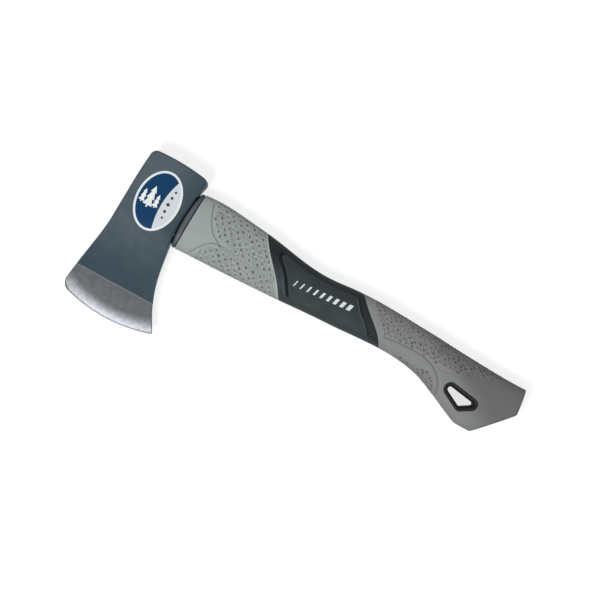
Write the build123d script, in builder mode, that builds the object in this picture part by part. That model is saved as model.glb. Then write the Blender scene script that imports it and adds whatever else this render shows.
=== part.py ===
from build123d import *
import os
from math import radians, sqrt, tan
from typing import NamedTuple

# Camp hatchet: a forged head bonded to a fibreglass core, with a moulded handle over it.
# Millimetres. It lies on one cheek with +Z up. +X runs from the head to the butt and
# +Y points to the poll, so the cutting edge faces -Y. The pieces are modelled about the
# middle of the eye, and set down at the end with the origin at the middle of the base.


class Station(NamedTuple):
    """One cross-section of the handle: where it is, its two edges and its thickness."""

    x: float
    low: float
    high: float
    thickness: float


# Head, seen on the cheek, in its own frame: X and Y are from the middle of the eye, and
# the head hangs on the handle at a small angle.
HANG = 2.5  # degrees that the head leans towards the butt
HEAD_LENGTH = 137.1  # poll face to the lowest point of the cutting edge
POLL_HEIGHT = 32.8  # middle of the eye to the poll face
HEAD_OUTER = -35.0  # side away from the handle, at the eye
HEAD_INNER = 15.8  # side against the handle
POLL_FLARE = 2.0  # how far the poll stands out past the eye, on the handle side
OUTER_CORNER = 8.0
INNER_CORNER = 7.0
POLL_DROP = 12.0  # length of that flare, down the side
WAIST_Y = -27.0  # the outer side starts to flare here
HOLLOW_LOW = -29.0  # lower end of the hollow in the inner side, which the collar follows
HOLLOW_DEPTH = 2.35
THROAT = [(22.9, 41.2), (27.6, 29.4)]  # inner side below the hollow, (X, height above the edge)
THROAT_LEAN = 0.2  # slope of the inner side where it leaves the hollow
BACK = [(-39.1, 38.5)]  # outer side below the waist, (X, height above the edge)
TOE_X = -42.7
HEEL_X = 40.0
TOE_LEAN = 0.06  # slope of the outer side at the toe
HEEL_LEAN = 0.7  # slope of the inner side at the heel
EDGE_RADIUS = 128.0  # sweep of the cutting edge
SWEEP_X = -5.0  # middle of that sweep
TOE_ROUND = 8.0
HEEL_ROUND = 1.5

# Head, seen end on.
HEAD_THICKNESS = 23.0
CHEEK_FLAT = 25.0  # the flat of the cheek ends here, below the middle of the eye
GRIND_HEIGHT = 28.3  # the bare ground bit reaches this far above the edge
GRIND_THICKNESS = 4.8
GRIND_STEP = 0.2
BIT_THICKNESS = 2.4  # at the cutting edge, before it is sharpened
EDGE_THICKNESS = 0.5
EDGE_BEVEL = 11.0  # degrees on each side
CHEEK_LEAN = 0.45  # slope of the cheek where it leaves the flat
GRIND_LEAN = 0.06  # slope of the cheek where it meets the ground bit
HEAD_ROUND = 1.2

# Eye, core and resin.
EYE_LENGTH = 42.0
EYE_WIDTH = 16.4
EYE_Y = -4.0
CORE_WIDTH = 20.0
CORE_THICKNESS = 10.4
CORE_ROUND = 5.0
CORE_Y = -6.3
CORE_TAIL = 72.0  # core end to butt end
CORE_RECESS = 0.6  # core end below the head's outer side
RESIN_RECESS = 1.4

# Handle outline. Front stations are placed from the eye and rear ones from the butt end,
# and the middle ones share out the stretch between them.
HANDLE_REACH = 322.2  # middle of the eye to the butt end
COLLAR_GAP = 0.5
COLLAR_LENGTH = 4.1
COLLAR_STEP = 0.7  # how far the collar lies below the grip beside it
COLLAR_START = HEAD_INNER + COLLAR_GAP
COLLAR_END = COLLAR_START + COLLAR_LENGTH
FORE_X = 60.0
PALM_SETBACK = 113.3
PALM_X = HANDLE_REACH - PALM_SETBACK
BUTT_RUN_OUT = 12.7  # the outline is lofted this far past the butt end, then cut off
FRONT_STATIONS = [  # from the middle of the eye
    Station(HEAD_INNER - COLLAR_LENGTH, -29.2, 19.6, 22.2),
    Station(26.0, -28.6, 20.9, 22.6),
    Station(40.0, -28.2, 21.2, 22.7),
    Station(FORE_X, -27.7, 19.4, 22.7),
]
MIDDLE_STATIONS = [  # x is a share of the stretch from FORE_X to PALM_X
    Station(0.2, -26.6, 15.7, 22.6),
    Station(0.38, -25.4, 11.0, 22.2),
    Station(0.55, -23.9, 9.5, 21.8),
    Station(0.672, -23.2, 11.0, 22.1),
    Station(0.78, -22.2, 11.7, 22.4),
]
REAR_STATIONS = [  # x is a setback from the butt end
    Station(PALM_SETBACK, -21.3, 10.8, 22.6),
    Station(94.2, -23.5, 9.8, 22.5),
    Station(76.3, -29.0, 8.6, 22.4),
    Station(51.3, -40.3, 7.0, 22.5),
    Station(25.3, -52.0, 5.7, 22.6),
    Station(-BUTT_RUN_OUT, -69.0, 5.4, 22.6),
]
STATIONS = (
    FRONT_STATIONS
    + [station._replace(x=FORE_X + station.x * (PALM_X - FORE_X)) for station in MIDDLE_STATIONS]
    + [station._replace(x=HANDLE_REACH - station.x) for station in REAR_STATIONS]
)
GRIP_WALL = 3.0

# Butt, cut off at three straight edges.
BUTT_SETBACK = 2.0  # top corner, back from the tip
BUTT_TOP = 6.0
BUTT_TIP_Y = -15.8
BUTT_HEEL_SETBACK = 26.2
BUTT_LOW = -45.0
BUTT_TOP_ROUND = 1.0
BUTT_TIP_ROUND = 4.0
BUTT_HEEL_ROUND = 3.5

# Seams between the soft sleeves, from the upper edge of the handle to the lower one.
FRONT_SEAM = [(75.0, 24.4), (87.4, 5.4), (103.4, -13.1), (116.0, -34.0)]
REAR_SEAM_SETBACK = [(162.9, 24.0), (143.5, 0.8), (130.0, -10.5), (117.5, -32.0)]
REAR_SEAM = [(HANDLE_REACH - setback, y) for setback, y in REAR_SEAM_SETBACK]

# Raised pad of the centre grip, with a moat round it that stops short of the lower edge.
PAD_MARGIN = 10.5  # from both seams
PAD_TOP = 6.2
PAD_LOW = -29.0
PAD_ROUND = 2.5
MOAT_WIDTH = 1.4  # above the pad
MOAT_SIDE = 2.2  # along the handle, at the pad's slanted ends
MOAT_DEPTH = 0.7
MOAT_END = -20.5

# Lanyard hole: a three-cornered hole, each corner (back from the butt end, Y, radius).
LANYARD_CORNERS = [(56.2, -22.6, 2.3), (36.3, -25.2, 1.6), (43.9, -30.3, 1.2)]
LINER_WALL = 3.8

# Oval label on the cheek.
LABEL_X = -9.8
LABEL_Y = -1.9
LABEL_WIDTH = 36.1
LABEL_HEIGHT = 50.4
LABEL_THICKNESS = 0.2

# Worked out from the sizes above.
HOLLOW_HIGH = POLL_HEIGHT - POLL_DROP
CLEAR_HEIGHT = 2 * HEAD_THICKNESS  # cutting tools reach this far past the middle plane
EDGE_Y = POLL_HEIGHT - HEAD_LENGTH
SWEEP_Y = EDGE_Y + EDGE_RADIUS
TOP_EDGE = FRONT_SEAM[0][1]  # clear above the handle
LOW_EDGE = 2 * BUTT_LOW  # clear below it
HEAD_PLAN = Plane.XY.rotated((0, 0, -HANG))
EYE_PLANE = Plane(origin=(0, 0, 0), x_dir=HEAD_PLAN.y_dir, z_dir=HEAD_PLAN.x_dir)


def sweep_point(x: float) -> tuple[float, float]:
    """Find the point of the cutting edge at a distance along the head."""
    return (x, SWEEP_Y - sqrt(EDGE_RADIUS**2 - (x - SWEEP_X) ** 2))


def hollow_line(gap: float) -> list[tuple[float, float]]:
    """Give the ends and the middle of the hollow in the head's side, set off by a gap."""
    x = HEAD_INNER + gap
    return [(x, HOLLOW_HIGH), (x - HOLLOW_DEPTH, (HOLLOW_HIGH + HOLLOW_LOW) / 2), (x, HOLLOW_LOW)]


def collar_zone() -> Sketch:
    """Draw the plan of the stretch between the head and the front sleeve."""
    upper, middle, lower = hollow_line(COLLAR_GAP)
    with BuildSketch(HEAD_PLAN, mode=Mode.PRIVATE) as zone:
        with BuildLine():
            ThreePointArc(upper, middle, lower)
            Polyline(lower, (COLLAR_START, LOW_EDGE), (COLLAR_END, LOW_EDGE))
            Polyline((COLLAR_END, LOW_EDGE), (COLLAR_END, POLL_HEIGHT), (COLLAR_START, POLL_HEIGHT), upper)
        make_face()
    return zone.sketch


def lanyard_outline(wall: float) -> Sketch:
    """Draw the lanyard hole, grown by a wall all round."""
    with BuildSketch(Plane.XY, mode=Mode.PRIVATE) as outline:
        with BuildLine():
            for setback, y, radius in LANYARD_CORNERS:
                CenterArc((HANDLE_REACH - setback, y), radius + wall, 0, 360)
        make_hull()
    return outline.sketch


def seam_zone(front: list[tuple[float, float]], rear: list[tuple[float, float]]) -> Sketch:
    """Draw the plan of the stretch of handle between two seams."""
    with BuildSketch(Plane.XY, mode=Mode.PRIVATE) as zone:
        with BuildLine():
            Spline(*front)
            Spline(*rear)
            Line(front[-1], rear[-1])
            Line(front[0], rear[0])
        make_face()
    return zone.sketch


def pad_outline(side: float, width: float) -> Sketch:
    """Draw the raised pad, grown along the handle and across it."""
    front = [(x + PAD_MARGIN - side, y) for x, y in FRONT_SEAM]
    rear = [(x - PAD_MARGIN + side, y) for x, y in REAR_SEAM]
    with BuildSketch(Plane.XY, mode=Mode.PRIVATE) as outline:
        add(seam_zone(front, rear))
        with Locations((HANDLE_REACH / 2, (PAD_TOP + PAD_LOW) / 2)):
            Rectangle(HANDLE_REACH, PAD_TOP - PAD_LOW + 2 * width, mode=Mode.INTERSECT)
        fillet(outline.vertices(), PAD_ROUND + width)
    return outline.sketch


def handle_skin(inset: float) -> Part:
    """Loft the outside of the handle, or a skin that lies inside it by the inset."""
    tip_x = HANDLE_REACH - inset
    with BuildPart(mode=Mode.PRIVATE) as skin:
        for station in STATIONS:
            half_width = (station.high - station.low) / 2
            with BuildSketch(Plane.YZ.offset(station.x)):
                with Locations((station.low + half_width, 0)):
                    Ellipse(half_width - inset, station.thickness / 2 - inset)
        loft()
        with BuildSketch(Plane.XY):
            with BuildLine():
                FilletPolyline(
                    (0, TOP_EDGE),
                    (tip_x - BUTT_SETBACK, TOP_EDGE),
                    (tip_x - BUTT_SETBACK, BUTT_TOP - inset),
                    (tip_x, BUTT_TIP_Y),
                    (tip_x - BUTT_HEEL_SETBACK, BUTT_LOW + inset),
                    (0, BUTT_LOW + inset),
                    radius=[0, BUTT_TOP_ROUND, BUTT_TIP_ROUND, BUTT_HEEL_ROUND],
                )
                Line((0, BUTT_LOW + inset), (0, TOP_EDGE))
            make_face()
        extrude(amount=CLEAR_HEIGHT, both=True, mode=Mode.INTERSECT)
    return skin.part


# ---------------------------------------------------------------- axe head
with BuildPart() as axe_head:
    outer_poll = (HEAD_OUTER, POLL_HEIGHT)
    inner_poll = (HEAD_INNER + POLL_FLARE, POLL_HEIGHT)
    hollow_top, hollow_middle, hollow_end = hollow_line(0)
    throat = [(x, EDGE_Y + height) for x, height in THROAT]
    back = [(x, EDGE_Y + height) for x, height in BACK]
    toe = sweep_point(TOE_X)
    heel = sweep_point(HEEL_X)
    with BuildSketch(HEAD_PLAN) as head_plan:
        with BuildLine():
            Polyline((HEAD_OUTER, WAIST_Y), outer_poll, inner_poll, hollow_top)
            ThreePointArc(hollow_top, hollow_middle, hollow_end)
            Spline(hollow_end, *throat, heel, tangents=((THROAT_LEAN, -1), (HEEL_LEAN, -1)))
            ThreePointArc(heel, (SWEEP_X, EDGE_Y), toe)
            Spline(toe, *back, (HEAD_OUTER, WAIST_Y), tangents=((TOE_LEAN, 1), (0, 1)))
        make_face()
        fillet(head_plan.vertices().sort_by_distance(outer_poll)[0], OUTER_CORNER)
        fillet(head_plan.vertices().sort_by_distance(inner_poll)[0], INNER_CORNER)
        fillet(head_plan.vertices().sort_by_distance(toe)[0], TOE_ROUND)
        fillet(head_plan.vertices().sort_by_distance(heel)[0], HEEL_ROUND)
    extrude(amount=CLEAR_HEIGHT, both=True)
    # Thickness: a flat cheek, a hollow taper and the ground bit
    flat_end = (-CHEEK_FLAT, HEAD_THICKNESS / 2)
    grind_line = EDGE_Y + GRIND_HEIGHT
    grind_start = (grind_line, GRIND_THICKNESS / 2)
    with BuildSketch(Plane.YZ):
        with BuildLine():
            Polyline((HEAD_LENGTH, 0), (HEAD_LENGTH, HEAD_THICKNESS / 2), flat_end)
            Spline(flat_end, grind_start, tangents=((-1, -CHEEK_LEAN), (-1, -GRIND_LEAN)))
            Polyline(
                grind_start,
                (grind_line - GRIND_STEP, GRIND_THICKNESS / 2 - GRIND_STEP),
                (EDGE_Y - GRIND_THICKNESS, BIT_THICKNESS / 2),
                (EDGE_Y - GRIND_THICKNESS, 0),
            )
            mirror(about=Plane.XZ)
        make_face()
    extrude(amount=HEAD_LENGTH, both=True, mode=Mode.INTERSECT)
    fillet(
        axe_head.edges()
        .filter_by(Plane.XY)
        .filter_by_position(Axis.Y, -CHEEK_FLAT, HEAD_LENGTH),
        HEAD_ROUND,
    )
    # Sharpened bevels, two cones about the middle of the edge's sweep
    bevel_slope = tan(radians(EDGE_BEVEL))
    sharp_radius = EDGE_RADIUS + EDGE_THICKNESS / 2 / bevel_slope
    bevel_height = sharp_radius * bevel_slope
    sweep_plane = Plane(
        origin=HEAD_PLAN.from_local_coords((SWEEP_X, SWEEP_Y, 0)),
        x_dir=HEAD_PLAN.x_dir,
        z_dir=-HEAD_PLAN.y_dir,
    )
    with BuildSketch(sweep_plane):
        Polygon((0, bevel_height), (sharp_radius, 0), (0, -bevel_height), align=None)
    revolve(axis=Axis(sweep_plane.origin, (0, 0, 1)), mode=Mode.INTERSECT)
    # Through eye
    with BuildSketch(EYE_PLANE):
        with Locations((EYE_Y, 0)):
            SlotOverall(EYE_LENGTH, EYE_WIDTH)
    extrude(amount=HEAD_LENGTH, both=True, mode=Mode.SUBTRACT)
axe_head.part.label = "axe_head"

# ---------------------------------------------------------------- cheek label
with BuildPart() as cheek_label:
    with BuildSketch(Plane.XY.offset(EYE_WIDTH / 2 + LABEL_THICKNESS)):
        with Locations((LABEL_X, LABEL_Y)):
            Ellipse(LABEL_WIDTH / 2, LABEL_HEIGHT / 2)
    extrude(amount=HEAD_THICKNESS)
    add(axe_head.part.moved(Location((0, 0, LABEL_THICKNESS))), mode=Mode.INTERSECT)
    add(axe_head.part, mode=Mode.SUBTRACT)
cheek_label.part.label = "cheek_label"

# ---------------------------------------------------------------- fibreglass core
with BuildPart() as fibreglass_core:
    core_start = HEAD_OUTER + CORE_RECESS
    core_end = HANDLE_REACH - CORE_TAIL
    with BuildSketch(Plane.YZ.offset(core_start)):
        with Locations((CORE_Y, 0)):
            RectangleRounded(CORE_WIDTH, CORE_THICKNESS, CORE_ROUND)
    extrude(amount=core_end - core_start)
fibreglass_core.part.label = "fibreglass_core"

# ---------------------------------------------------------------- resin in the eye
with BuildPart() as eye_resin:
    resin_start = HEAD_OUTER + RESIN_RECESS
    with BuildSketch(EYE_PLANE.offset(resin_start)):
        with Locations((EYE_Y, 0)):
            SlotOverall(EYE_LENGTH, EYE_WIDTH)
    extrude(amount=COLLAR_START - resin_start)
    add(collar_zone())
    extrude(amount=CLEAR_HEIGHT, both=True, mode=Mode.SUBTRACT)
    add(fibreglass_core.part, mode=Mode.SUBTRACT)
eye_resin.part.label = "eye_resin"

# ---------------------------------------------------------------- shoulder collar
with BuildPart() as shoulder_collar:
    add(handle_skin(COLLAR_STEP))
    add(collar_zone())
    extrude(amount=CLEAR_HEIGHT, both=True, mode=Mode.INTERSECT)
    add(fibreglass_core.part, mode=Mode.SUBTRACT)
shoulder_collar.part.label = "shoulder_collar"

# ---------------------------------------------------------------- inner jacket
jacket_skin = handle_skin(GRIP_WALL)
with BuildPart() as handle_jacket:
    add(jacket_skin)
    split(bisect_by=EYE_PLANE.offset(COLLAR_END), keep=Keep.TOP)
    add(fibreglass_core.part, mode=Mode.SUBTRACT)
    add(lanyard_outline(LINER_WALL))
    extrude(amount=CLEAR_HEIGHT, both=True, mode=Mode.SUBTRACT)
handle_jacket.part.label = "handle_jacket"

# ---------------------------------------------------------------- soft sleeves
grip_skin = handle_skin(0)
collar_line = [
    EYE_PLANE.offset(COLLAR_END).from_local_coords((TOP_EDGE, 0, 0)),
    EYE_PLANE.offset(COLLAR_END).from_local_coords((LOW_EDGE / 2, 0, 0)),
]
butt_line = [(HANDLE_REACH + BUTT_RUN_OUT, TOP_EDGE), (HANDLE_REACH + BUTT_RUN_OUT, LOW_EDGE)]

with BuildPart() as front_grip:
    add(grip_skin)
    add(seam_zone(collar_line, FRONT_SEAM))
    extrude(amount=CLEAR_HEIGHT, both=True, mode=Mode.INTERSECT)
    add(jacket_skin, mode=Mode.SUBTRACT)
    add(fibreglass_core.part, mode=Mode.SUBTRACT)
front_grip.part.label = "front_grip"

with BuildPart() as moat:
    add(pad_outline(MOAT_SIDE, MOAT_WIDTH))
    extrude(amount=CLEAR_HEIGHT, both=True)
    add(pad_outline(0, 0))
    extrude(amount=CLEAR_HEIGHT, both=True, mode=Mode.SUBTRACT)
    add(handle_skin(MOAT_DEPTH), mode=Mode.SUBTRACT)
    split(bisect_by=Plane((0, MOAT_END, 0), z_dir=(0, 1, 0)), keep=Keep.TOP)

with BuildPart() as centre_grip:
    add(grip_skin)
    add(seam_zone(FRONT_SEAM, REAR_SEAM))
    extrude(amount=CLEAR_HEIGHT, both=True, mode=Mode.INTERSECT)
    add(jacket_skin, mode=Mode.SUBTRACT)
    add(fibreglass_core.part, mode=Mode.SUBTRACT)
    add(moat.part, mode=Mode.SUBTRACT)
centre_grip.part.label = "centre_grip"

with BuildPart() as rear_grip:
    add(grip_skin)
    add(seam_zone(REAR_SEAM, butt_line))
    extrude(amount=CLEAR_HEIGHT, both=True, mode=Mode.INTERSECT)
    add(jacket_skin, mode=Mode.SUBTRACT)
    add(fibreglass_core.part, mode=Mode.SUBTRACT)
    add(lanyard_outline(LINER_WALL))
    extrude(amount=CLEAR_HEIGHT, both=True, mode=Mode.SUBTRACT)
rear_grip.part.label = "rear_grip"

# ---------------------------------------------------------------- lanyard liner
with BuildPart() as lanyard_liner:
    add(lanyard_outline(LINER_WALL))
    extrude(amount=CLEAR_HEIGHT, both=True)
    add(lanyard_outline(0))
    extrude(amount=CLEAR_HEIGHT, both=True, mode=Mode.SUBTRACT)
    add(grip_skin, mode=Mode.INTERSECT)
lanyard_liner.part.label = "lanyard_liner"

# ---------------------------------------------------------------- set down and write
pieces = [
    axe_head,
    cheek_label,
    fibreglass_core,
    eye_resin,
    shoulder_collar,
    handle_jacket,
    front_grip,
    centre_grip,
    rear_grip,
    lanyard_liner,
]
bounds = Compound([piece.part for piece in pieces]).bounding_box()
base = Location((-bounds.center().X, -bounds.center().Y, -bounds.min.Z))
os.makedirs("parts", exist_ok=True)
for piece in pieces:
    piece.part.move(base)
    export_step(piece.part, f"parts/{piece.part.label}.step")
print("origin moved by", base.position)
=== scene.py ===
import logging
import math
from dataclasses import dataclass
from enum import Enum
from typing import Callable, Sequence

import bmesh
import bpy
import numpy as np
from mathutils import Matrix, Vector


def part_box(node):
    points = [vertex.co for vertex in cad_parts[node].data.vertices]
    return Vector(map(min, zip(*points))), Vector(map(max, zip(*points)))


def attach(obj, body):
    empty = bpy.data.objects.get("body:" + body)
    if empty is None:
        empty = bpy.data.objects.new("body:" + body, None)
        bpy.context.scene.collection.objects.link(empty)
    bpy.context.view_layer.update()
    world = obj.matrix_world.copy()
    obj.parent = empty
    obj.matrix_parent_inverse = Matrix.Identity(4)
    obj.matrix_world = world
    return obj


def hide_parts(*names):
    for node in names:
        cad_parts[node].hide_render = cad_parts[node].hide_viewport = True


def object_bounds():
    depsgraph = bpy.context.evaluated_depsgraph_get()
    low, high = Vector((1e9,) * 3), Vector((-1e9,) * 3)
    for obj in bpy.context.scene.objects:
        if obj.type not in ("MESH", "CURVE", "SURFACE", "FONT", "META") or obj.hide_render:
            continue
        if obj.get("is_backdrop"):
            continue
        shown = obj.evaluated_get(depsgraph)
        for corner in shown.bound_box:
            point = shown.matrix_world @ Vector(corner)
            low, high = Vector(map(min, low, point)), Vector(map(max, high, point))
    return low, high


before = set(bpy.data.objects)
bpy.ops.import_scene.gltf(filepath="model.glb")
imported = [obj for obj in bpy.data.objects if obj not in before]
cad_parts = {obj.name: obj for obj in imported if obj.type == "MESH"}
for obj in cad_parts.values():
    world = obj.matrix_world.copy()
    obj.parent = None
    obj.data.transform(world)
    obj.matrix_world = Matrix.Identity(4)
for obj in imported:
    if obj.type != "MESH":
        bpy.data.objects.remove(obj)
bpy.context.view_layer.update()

# Looks of a camp hatchet that lies on one cheek. Shapes are worked out in millimetres about
# the middle of the eye, with +X to the butt, +Y to the poll and Z = 0 in the middle plane,
# and each mesh is set down in the metres of the shared frame when it is made.

MM = 0.001
BODY = "root"
LOG = logging.getLogger("hatchet")

Array = np.ndarray
Curve = Callable[[Array], Array]
Plan = Sequence[tuple[float, float]]


# ---------------------------------------------------------------- curves and distances


def smooth_curve(points: Plan, start: float | None = None, end: float | None = None) -> Curve:
    """Draw the smooth curve through points that are in order along their first number.

    Args:
        points: Pairs of a position and a value.
        start: Slope at the first point, or None to let it run out straight.
        end: Slope at the last point, or None to let it run out straight.

    Returns:
        A function from positions to values, straight beyond both ends.
    """
    x, y = np.array(points, float).T
    gap = np.diff(x)
    rise = np.diff(y) / gap
    size = len(x)
    system, known = np.zeros((size, size)), np.zeros(size)
    for i in range(1, size - 1):
        system[i, i - 1 : i + 2] = gap[i], 2 * (gap[i] + gap[i - 1]), gap[i - 1]
        known[i] = 3 * (gap[i] * rise[i - 1] + gap[i - 1] * rise[i])
    system[0, :2], known[0] = ((2, 1), 3 * rise[0]) if start is None else ((1, 0), start)
    system[-1, -2:], known[-1] = ((1, 2), 3 * rise[-1]) if end is None else ((0, 1), end)
    slope = np.linalg.solve(system, known)

    def value(at: Array) -> Array:
        """Read the curve at some positions."""
        inside = np.clip(at, x[0], x[-1])
        i = np.clip(np.searchsorted(x, inside) - 1, 0, size - 2)
        t = (inside - x[i]) / gap[i]
        bulge = (slope[i] - rise[i]) * (1 - t) - (slope[i + 1] - rise[i]) * t
        level = y[i] + gap[i] * t * (rise[i] + (1 - t) * bulge)
        return level + (at - inside) * np.where(at < x[0], slope[0], slope[-1])

    return value


def soft_min(a: Array, b: Array, reach: float) -> Array:
    """Take the lower of two values, with the corner between them rounded over a reach."""
    share = np.clip(0.5 + 0.5 * (b - a) / reach, 0, 1)
    return b + (a - b) * share - reach * share * (1 - share)


def soft_step(value: Array, low: float, high: float) -> Array:
    """Rise smoothly from 0 at one value to 1 at another."""
    t = np.clip((value - low) / (high - low), 0, 1)
    return t * t * (3 - 2 * t)


def round_over(distance: Array, radius: Array | float) -> Array:
    """Find how far a surface drops near its edge, where the edge is rounded.

    Args:
        distance: Distance in from the edge.
        radius: Radius of the rounding.

    Returns:
        The drop, from the radius at the edge to 0 at a radius away.
    """
    short = np.clip(radius - distance, 0, radius)
    return radius - np.sqrt(np.maximum(radius**2 - short**2, 0))


def nearest(x: Array, y: Array, line: Array) -> tuple[Array, Array, Array]:
    """Find the nearest point of a line of straight pieces to each of many points.

    Args:
        x: X of the points.
        y: Y of the points.
        line: Corners of the line, one to a row.

    Returns:
        The distance, and X and Y of the nearest point.
    """
    best, near_x, near_y = np.full(x.shape, np.inf), np.zeros(x.shape), np.zeros(x.shape)
    for (ax, ay), (bx, by) in zip(line[:-1], line[1:]):
        run = max((bx - ax) ** 2 + (by - ay) ** 2, 1e-12)
        t = np.clip(((x - ax) * (bx - ax) + (y - ay) * (by - ay)) / run, 0, 1)
        px, py = ax + t * (bx - ax), ay + t * (by - ay)
        distance = np.hypot(x - px, y - py)
        closer = distance < best
        best = np.where(closer, distance, best)
        near_x, near_y = np.where(closer, px, near_x), np.where(closer, py, near_y)
    return best, near_x, near_y


def inside(x: Array, y: Array, loop: Array) -> Array:
    """Tell which points lie inside a closed loop of straight pieces."""
    odd = np.zeros(x.shape, bool)
    for (ax, ay), (bx, by) in zip(loop, np.roll(loop, -1, axis=0)):
        if ay != by:
            crosses = ((ay > y) != (by > y)) & (x < ax + (y - ay) * (bx - ax) / (by - ay))
            odd ^= crosses
    return odd


def spread(line: Array, count: int) -> Array:
    """Set points at even distances along a line of straight pieces."""
    steps = np.hypot(*np.diff(line, axis=0).T)
    along = np.concatenate([[0], np.cumsum(steps)])
    at = np.linspace(0, along[-1], count)
    return np.stack([np.interp(at, along, line[:, 0]), np.interp(at, along, line[:, 1])], 1)


def rounded_loop(corners: Sequence[tuple[float, float, float]], grow: float, count: int) -> Array:
    """Draw a loop that runs tightly round circles.

    Args:
        corners: X, Y and radius of each circle.
        grow: Added to every radius.
        count: Points on the loop.

    Returns:
        The points, counter-clockwise, with the first one repeated at the end.
    """
    turn = np.linspace(0, 2 * math.pi, 721)
    way = np.stack([np.cos(turn), np.sin(turn)])
    x, y, radius = np.array(corners, float).T
    reach = np.outer(x, way[0]) + np.outer(y, way[1]) + (radius + grow)[:, None]
    first = reach.argmax(0)
    loop = np.stack([x[first], y[first]], 1) + (radius[first] + grow)[:, None] * way.T
    return spread(np.vstack([loop, loop[:1]]), count + 1)


def end_steps(length: float, step: float, fine: Sequence[float]) -> Array:
    """Share out rows along a length, with finer rows at both ends.

    Args:
        length: The whole length.
        step: Distance between rows in the middle.
        fine: Places of the fine rows, from each end.

    Returns:
        The rows' places, from 0 to 1.
    """
    middle = np.linspace(fine[-1], length - fine[-1], max(2, round(length / step)))
    low = np.array(fine[:-1])
    return np.concatenate([low, middle, length - low[::-1]]) / length


# ---------------------------------------------------------------- meshes


@dataclass(frozen=True)
class EyeFrame:
    """The middle of the head's eye, found from the CAD model."""

    core_recess: float = 34.4  # from the middle of the eye to the core's end
    core_drop: float = 6.3  # from the middle of the eye down to the core's middle

    def place(self, points: Array) -> Array:
        """Turn millimetres about the eye into metres in the shared frame."""
        low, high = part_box("fibreglass_core")
        x = low.x + self.core_recess * MM
        y = (low.y + high.y) / 2 + self.core_drop * MM
        return points * MM + np.array([x, y, (low.z + high.z) / 2])


EYE = EyeFrame()


class Shell:
    """Corners and faces of one mesh, gathered before it is made."""

    def __init__(self) -> None:
        """Start with nothing."""
        self.points: list[Array] = []
        self.faces: list[tuple[int, ...]] = []
        self.marks: dict[str, list[tuple[int, Array]]] = {}
        self.count = 0

    def add(self, points: Array, **marks: Array) -> Array:
        """Add an array of points.

        Args:
            points: The points, their last axis X, Y and Z.
            marks: Named numbers for each point, which the finish reads.

        Returns:
            The points' numbers, in the same rows and columns.
        """
        flat = points.reshape(-1, 3)
        numbers = np.arange(self.count, self.count + len(flat)).reshape(points.shape[:-1])
        for name, values in marks.items():
            self.marks.setdefault(name, []).append((self.count, values.ravel()))
        self.points.append(flat)
        self.count += len(flat)
        return numbers

    def block(self, top: Array, depth: float) -> None:
        """Add a thin solid under a table of points.

        Args:
            top: Points of its upper face, in rows and columns.
            depth: How far its lower face lies below them.
        """
        upper, lower = self.add(top), self.add(top - (0, 0, depth))
        self.quads(upper)
        self.quads(lower)
        for cut in ((0, slice(None)), (-1, slice(None)), (slice(None), 0), (slice(None), -1)):
            self.quads(np.stack([upper[cut], lower[cut]]))

    def quads(self, numbers: Array, keep: Array | None = None) -> None:
        """Join a table of point numbers into faces.

        Args:
            numbers: Point numbers in rows and columns.
            keep: Which faces to make, or None for all of them.
        """
        a, b, c, d = numbers[:-1, :-1], numbers[1:, :-1], numbers[1:, 1:], numbers[:-1, 1:]
        table = np.stack([a, b, c, d], -1)
        chosen = table.reshape(-1, 4) if keep is None else table[keep]
        self.faces.extend(tuple(dict.fromkeys(face)) for face in chosen.tolist())

    def piece(self, name: str, slot: str, *nodes: str, sharp: float = 40.0) -> bpy.types.Object:
        """Make the mesh, and let it stand for CAD nodes.

        Args:
            name: Name of the piece.
            slot: The record's material slot; not used.
            nodes: CAD nodes that it replaces.
            sharp: Angle in degrees past which an edge is shown sharp.

        Returns:
            The new object, riding on the tool.
        """
        mesh = bpy.data.meshes.new(name)
        places = EYE.place(np.concatenate(self.points))
        mesh.from_pydata(places.tolist(), [], [face for face in self.faces if len(face) > 2])
        for mark, parts in self.marks.items():
            values = np.zeros(self.count)
            for start, part in parts:
                values[start : start + len(part)] = part
            mesh.attributes.new(mark, "FLOAT", "POINT").data.foreach_set("value", values)
        work = bmesh.new()
        work.from_mesh(mesh)
        bmesh.ops.remove_doubles(work, verts=work.verts, dist=0.002 * MM)
        loose = [vert for vert in work.verts if not vert.link_faces]
        bmesh.ops.delete(work, geom=loose, context="VERTS")
        bmesh.ops.recalc_face_normals(work, faces=work.faces)
        work.to_mesh(mesh)
        work.free()
        mesh.shade_smooth()
        mesh.set_sharp_from_angle(angle=math.radians(sharp))
        made = bpy.data.objects.new(name, mesh)
        bpy.context.scene.collection.objects.link(made)
        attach(made, BODY)
        if nodes:
            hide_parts(*nodes)
        LOG.info("%s: %d faces", name, len(mesh.polygons))
        return made


def dress(piece: bpy.types.Object, material: bpy.types.Material) -> None:
    """Give a piece one material."""
    piece.data.materials.clear()
    piece.data.materials.append(material)


# ---------------------------------------------------------------- finishes


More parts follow.
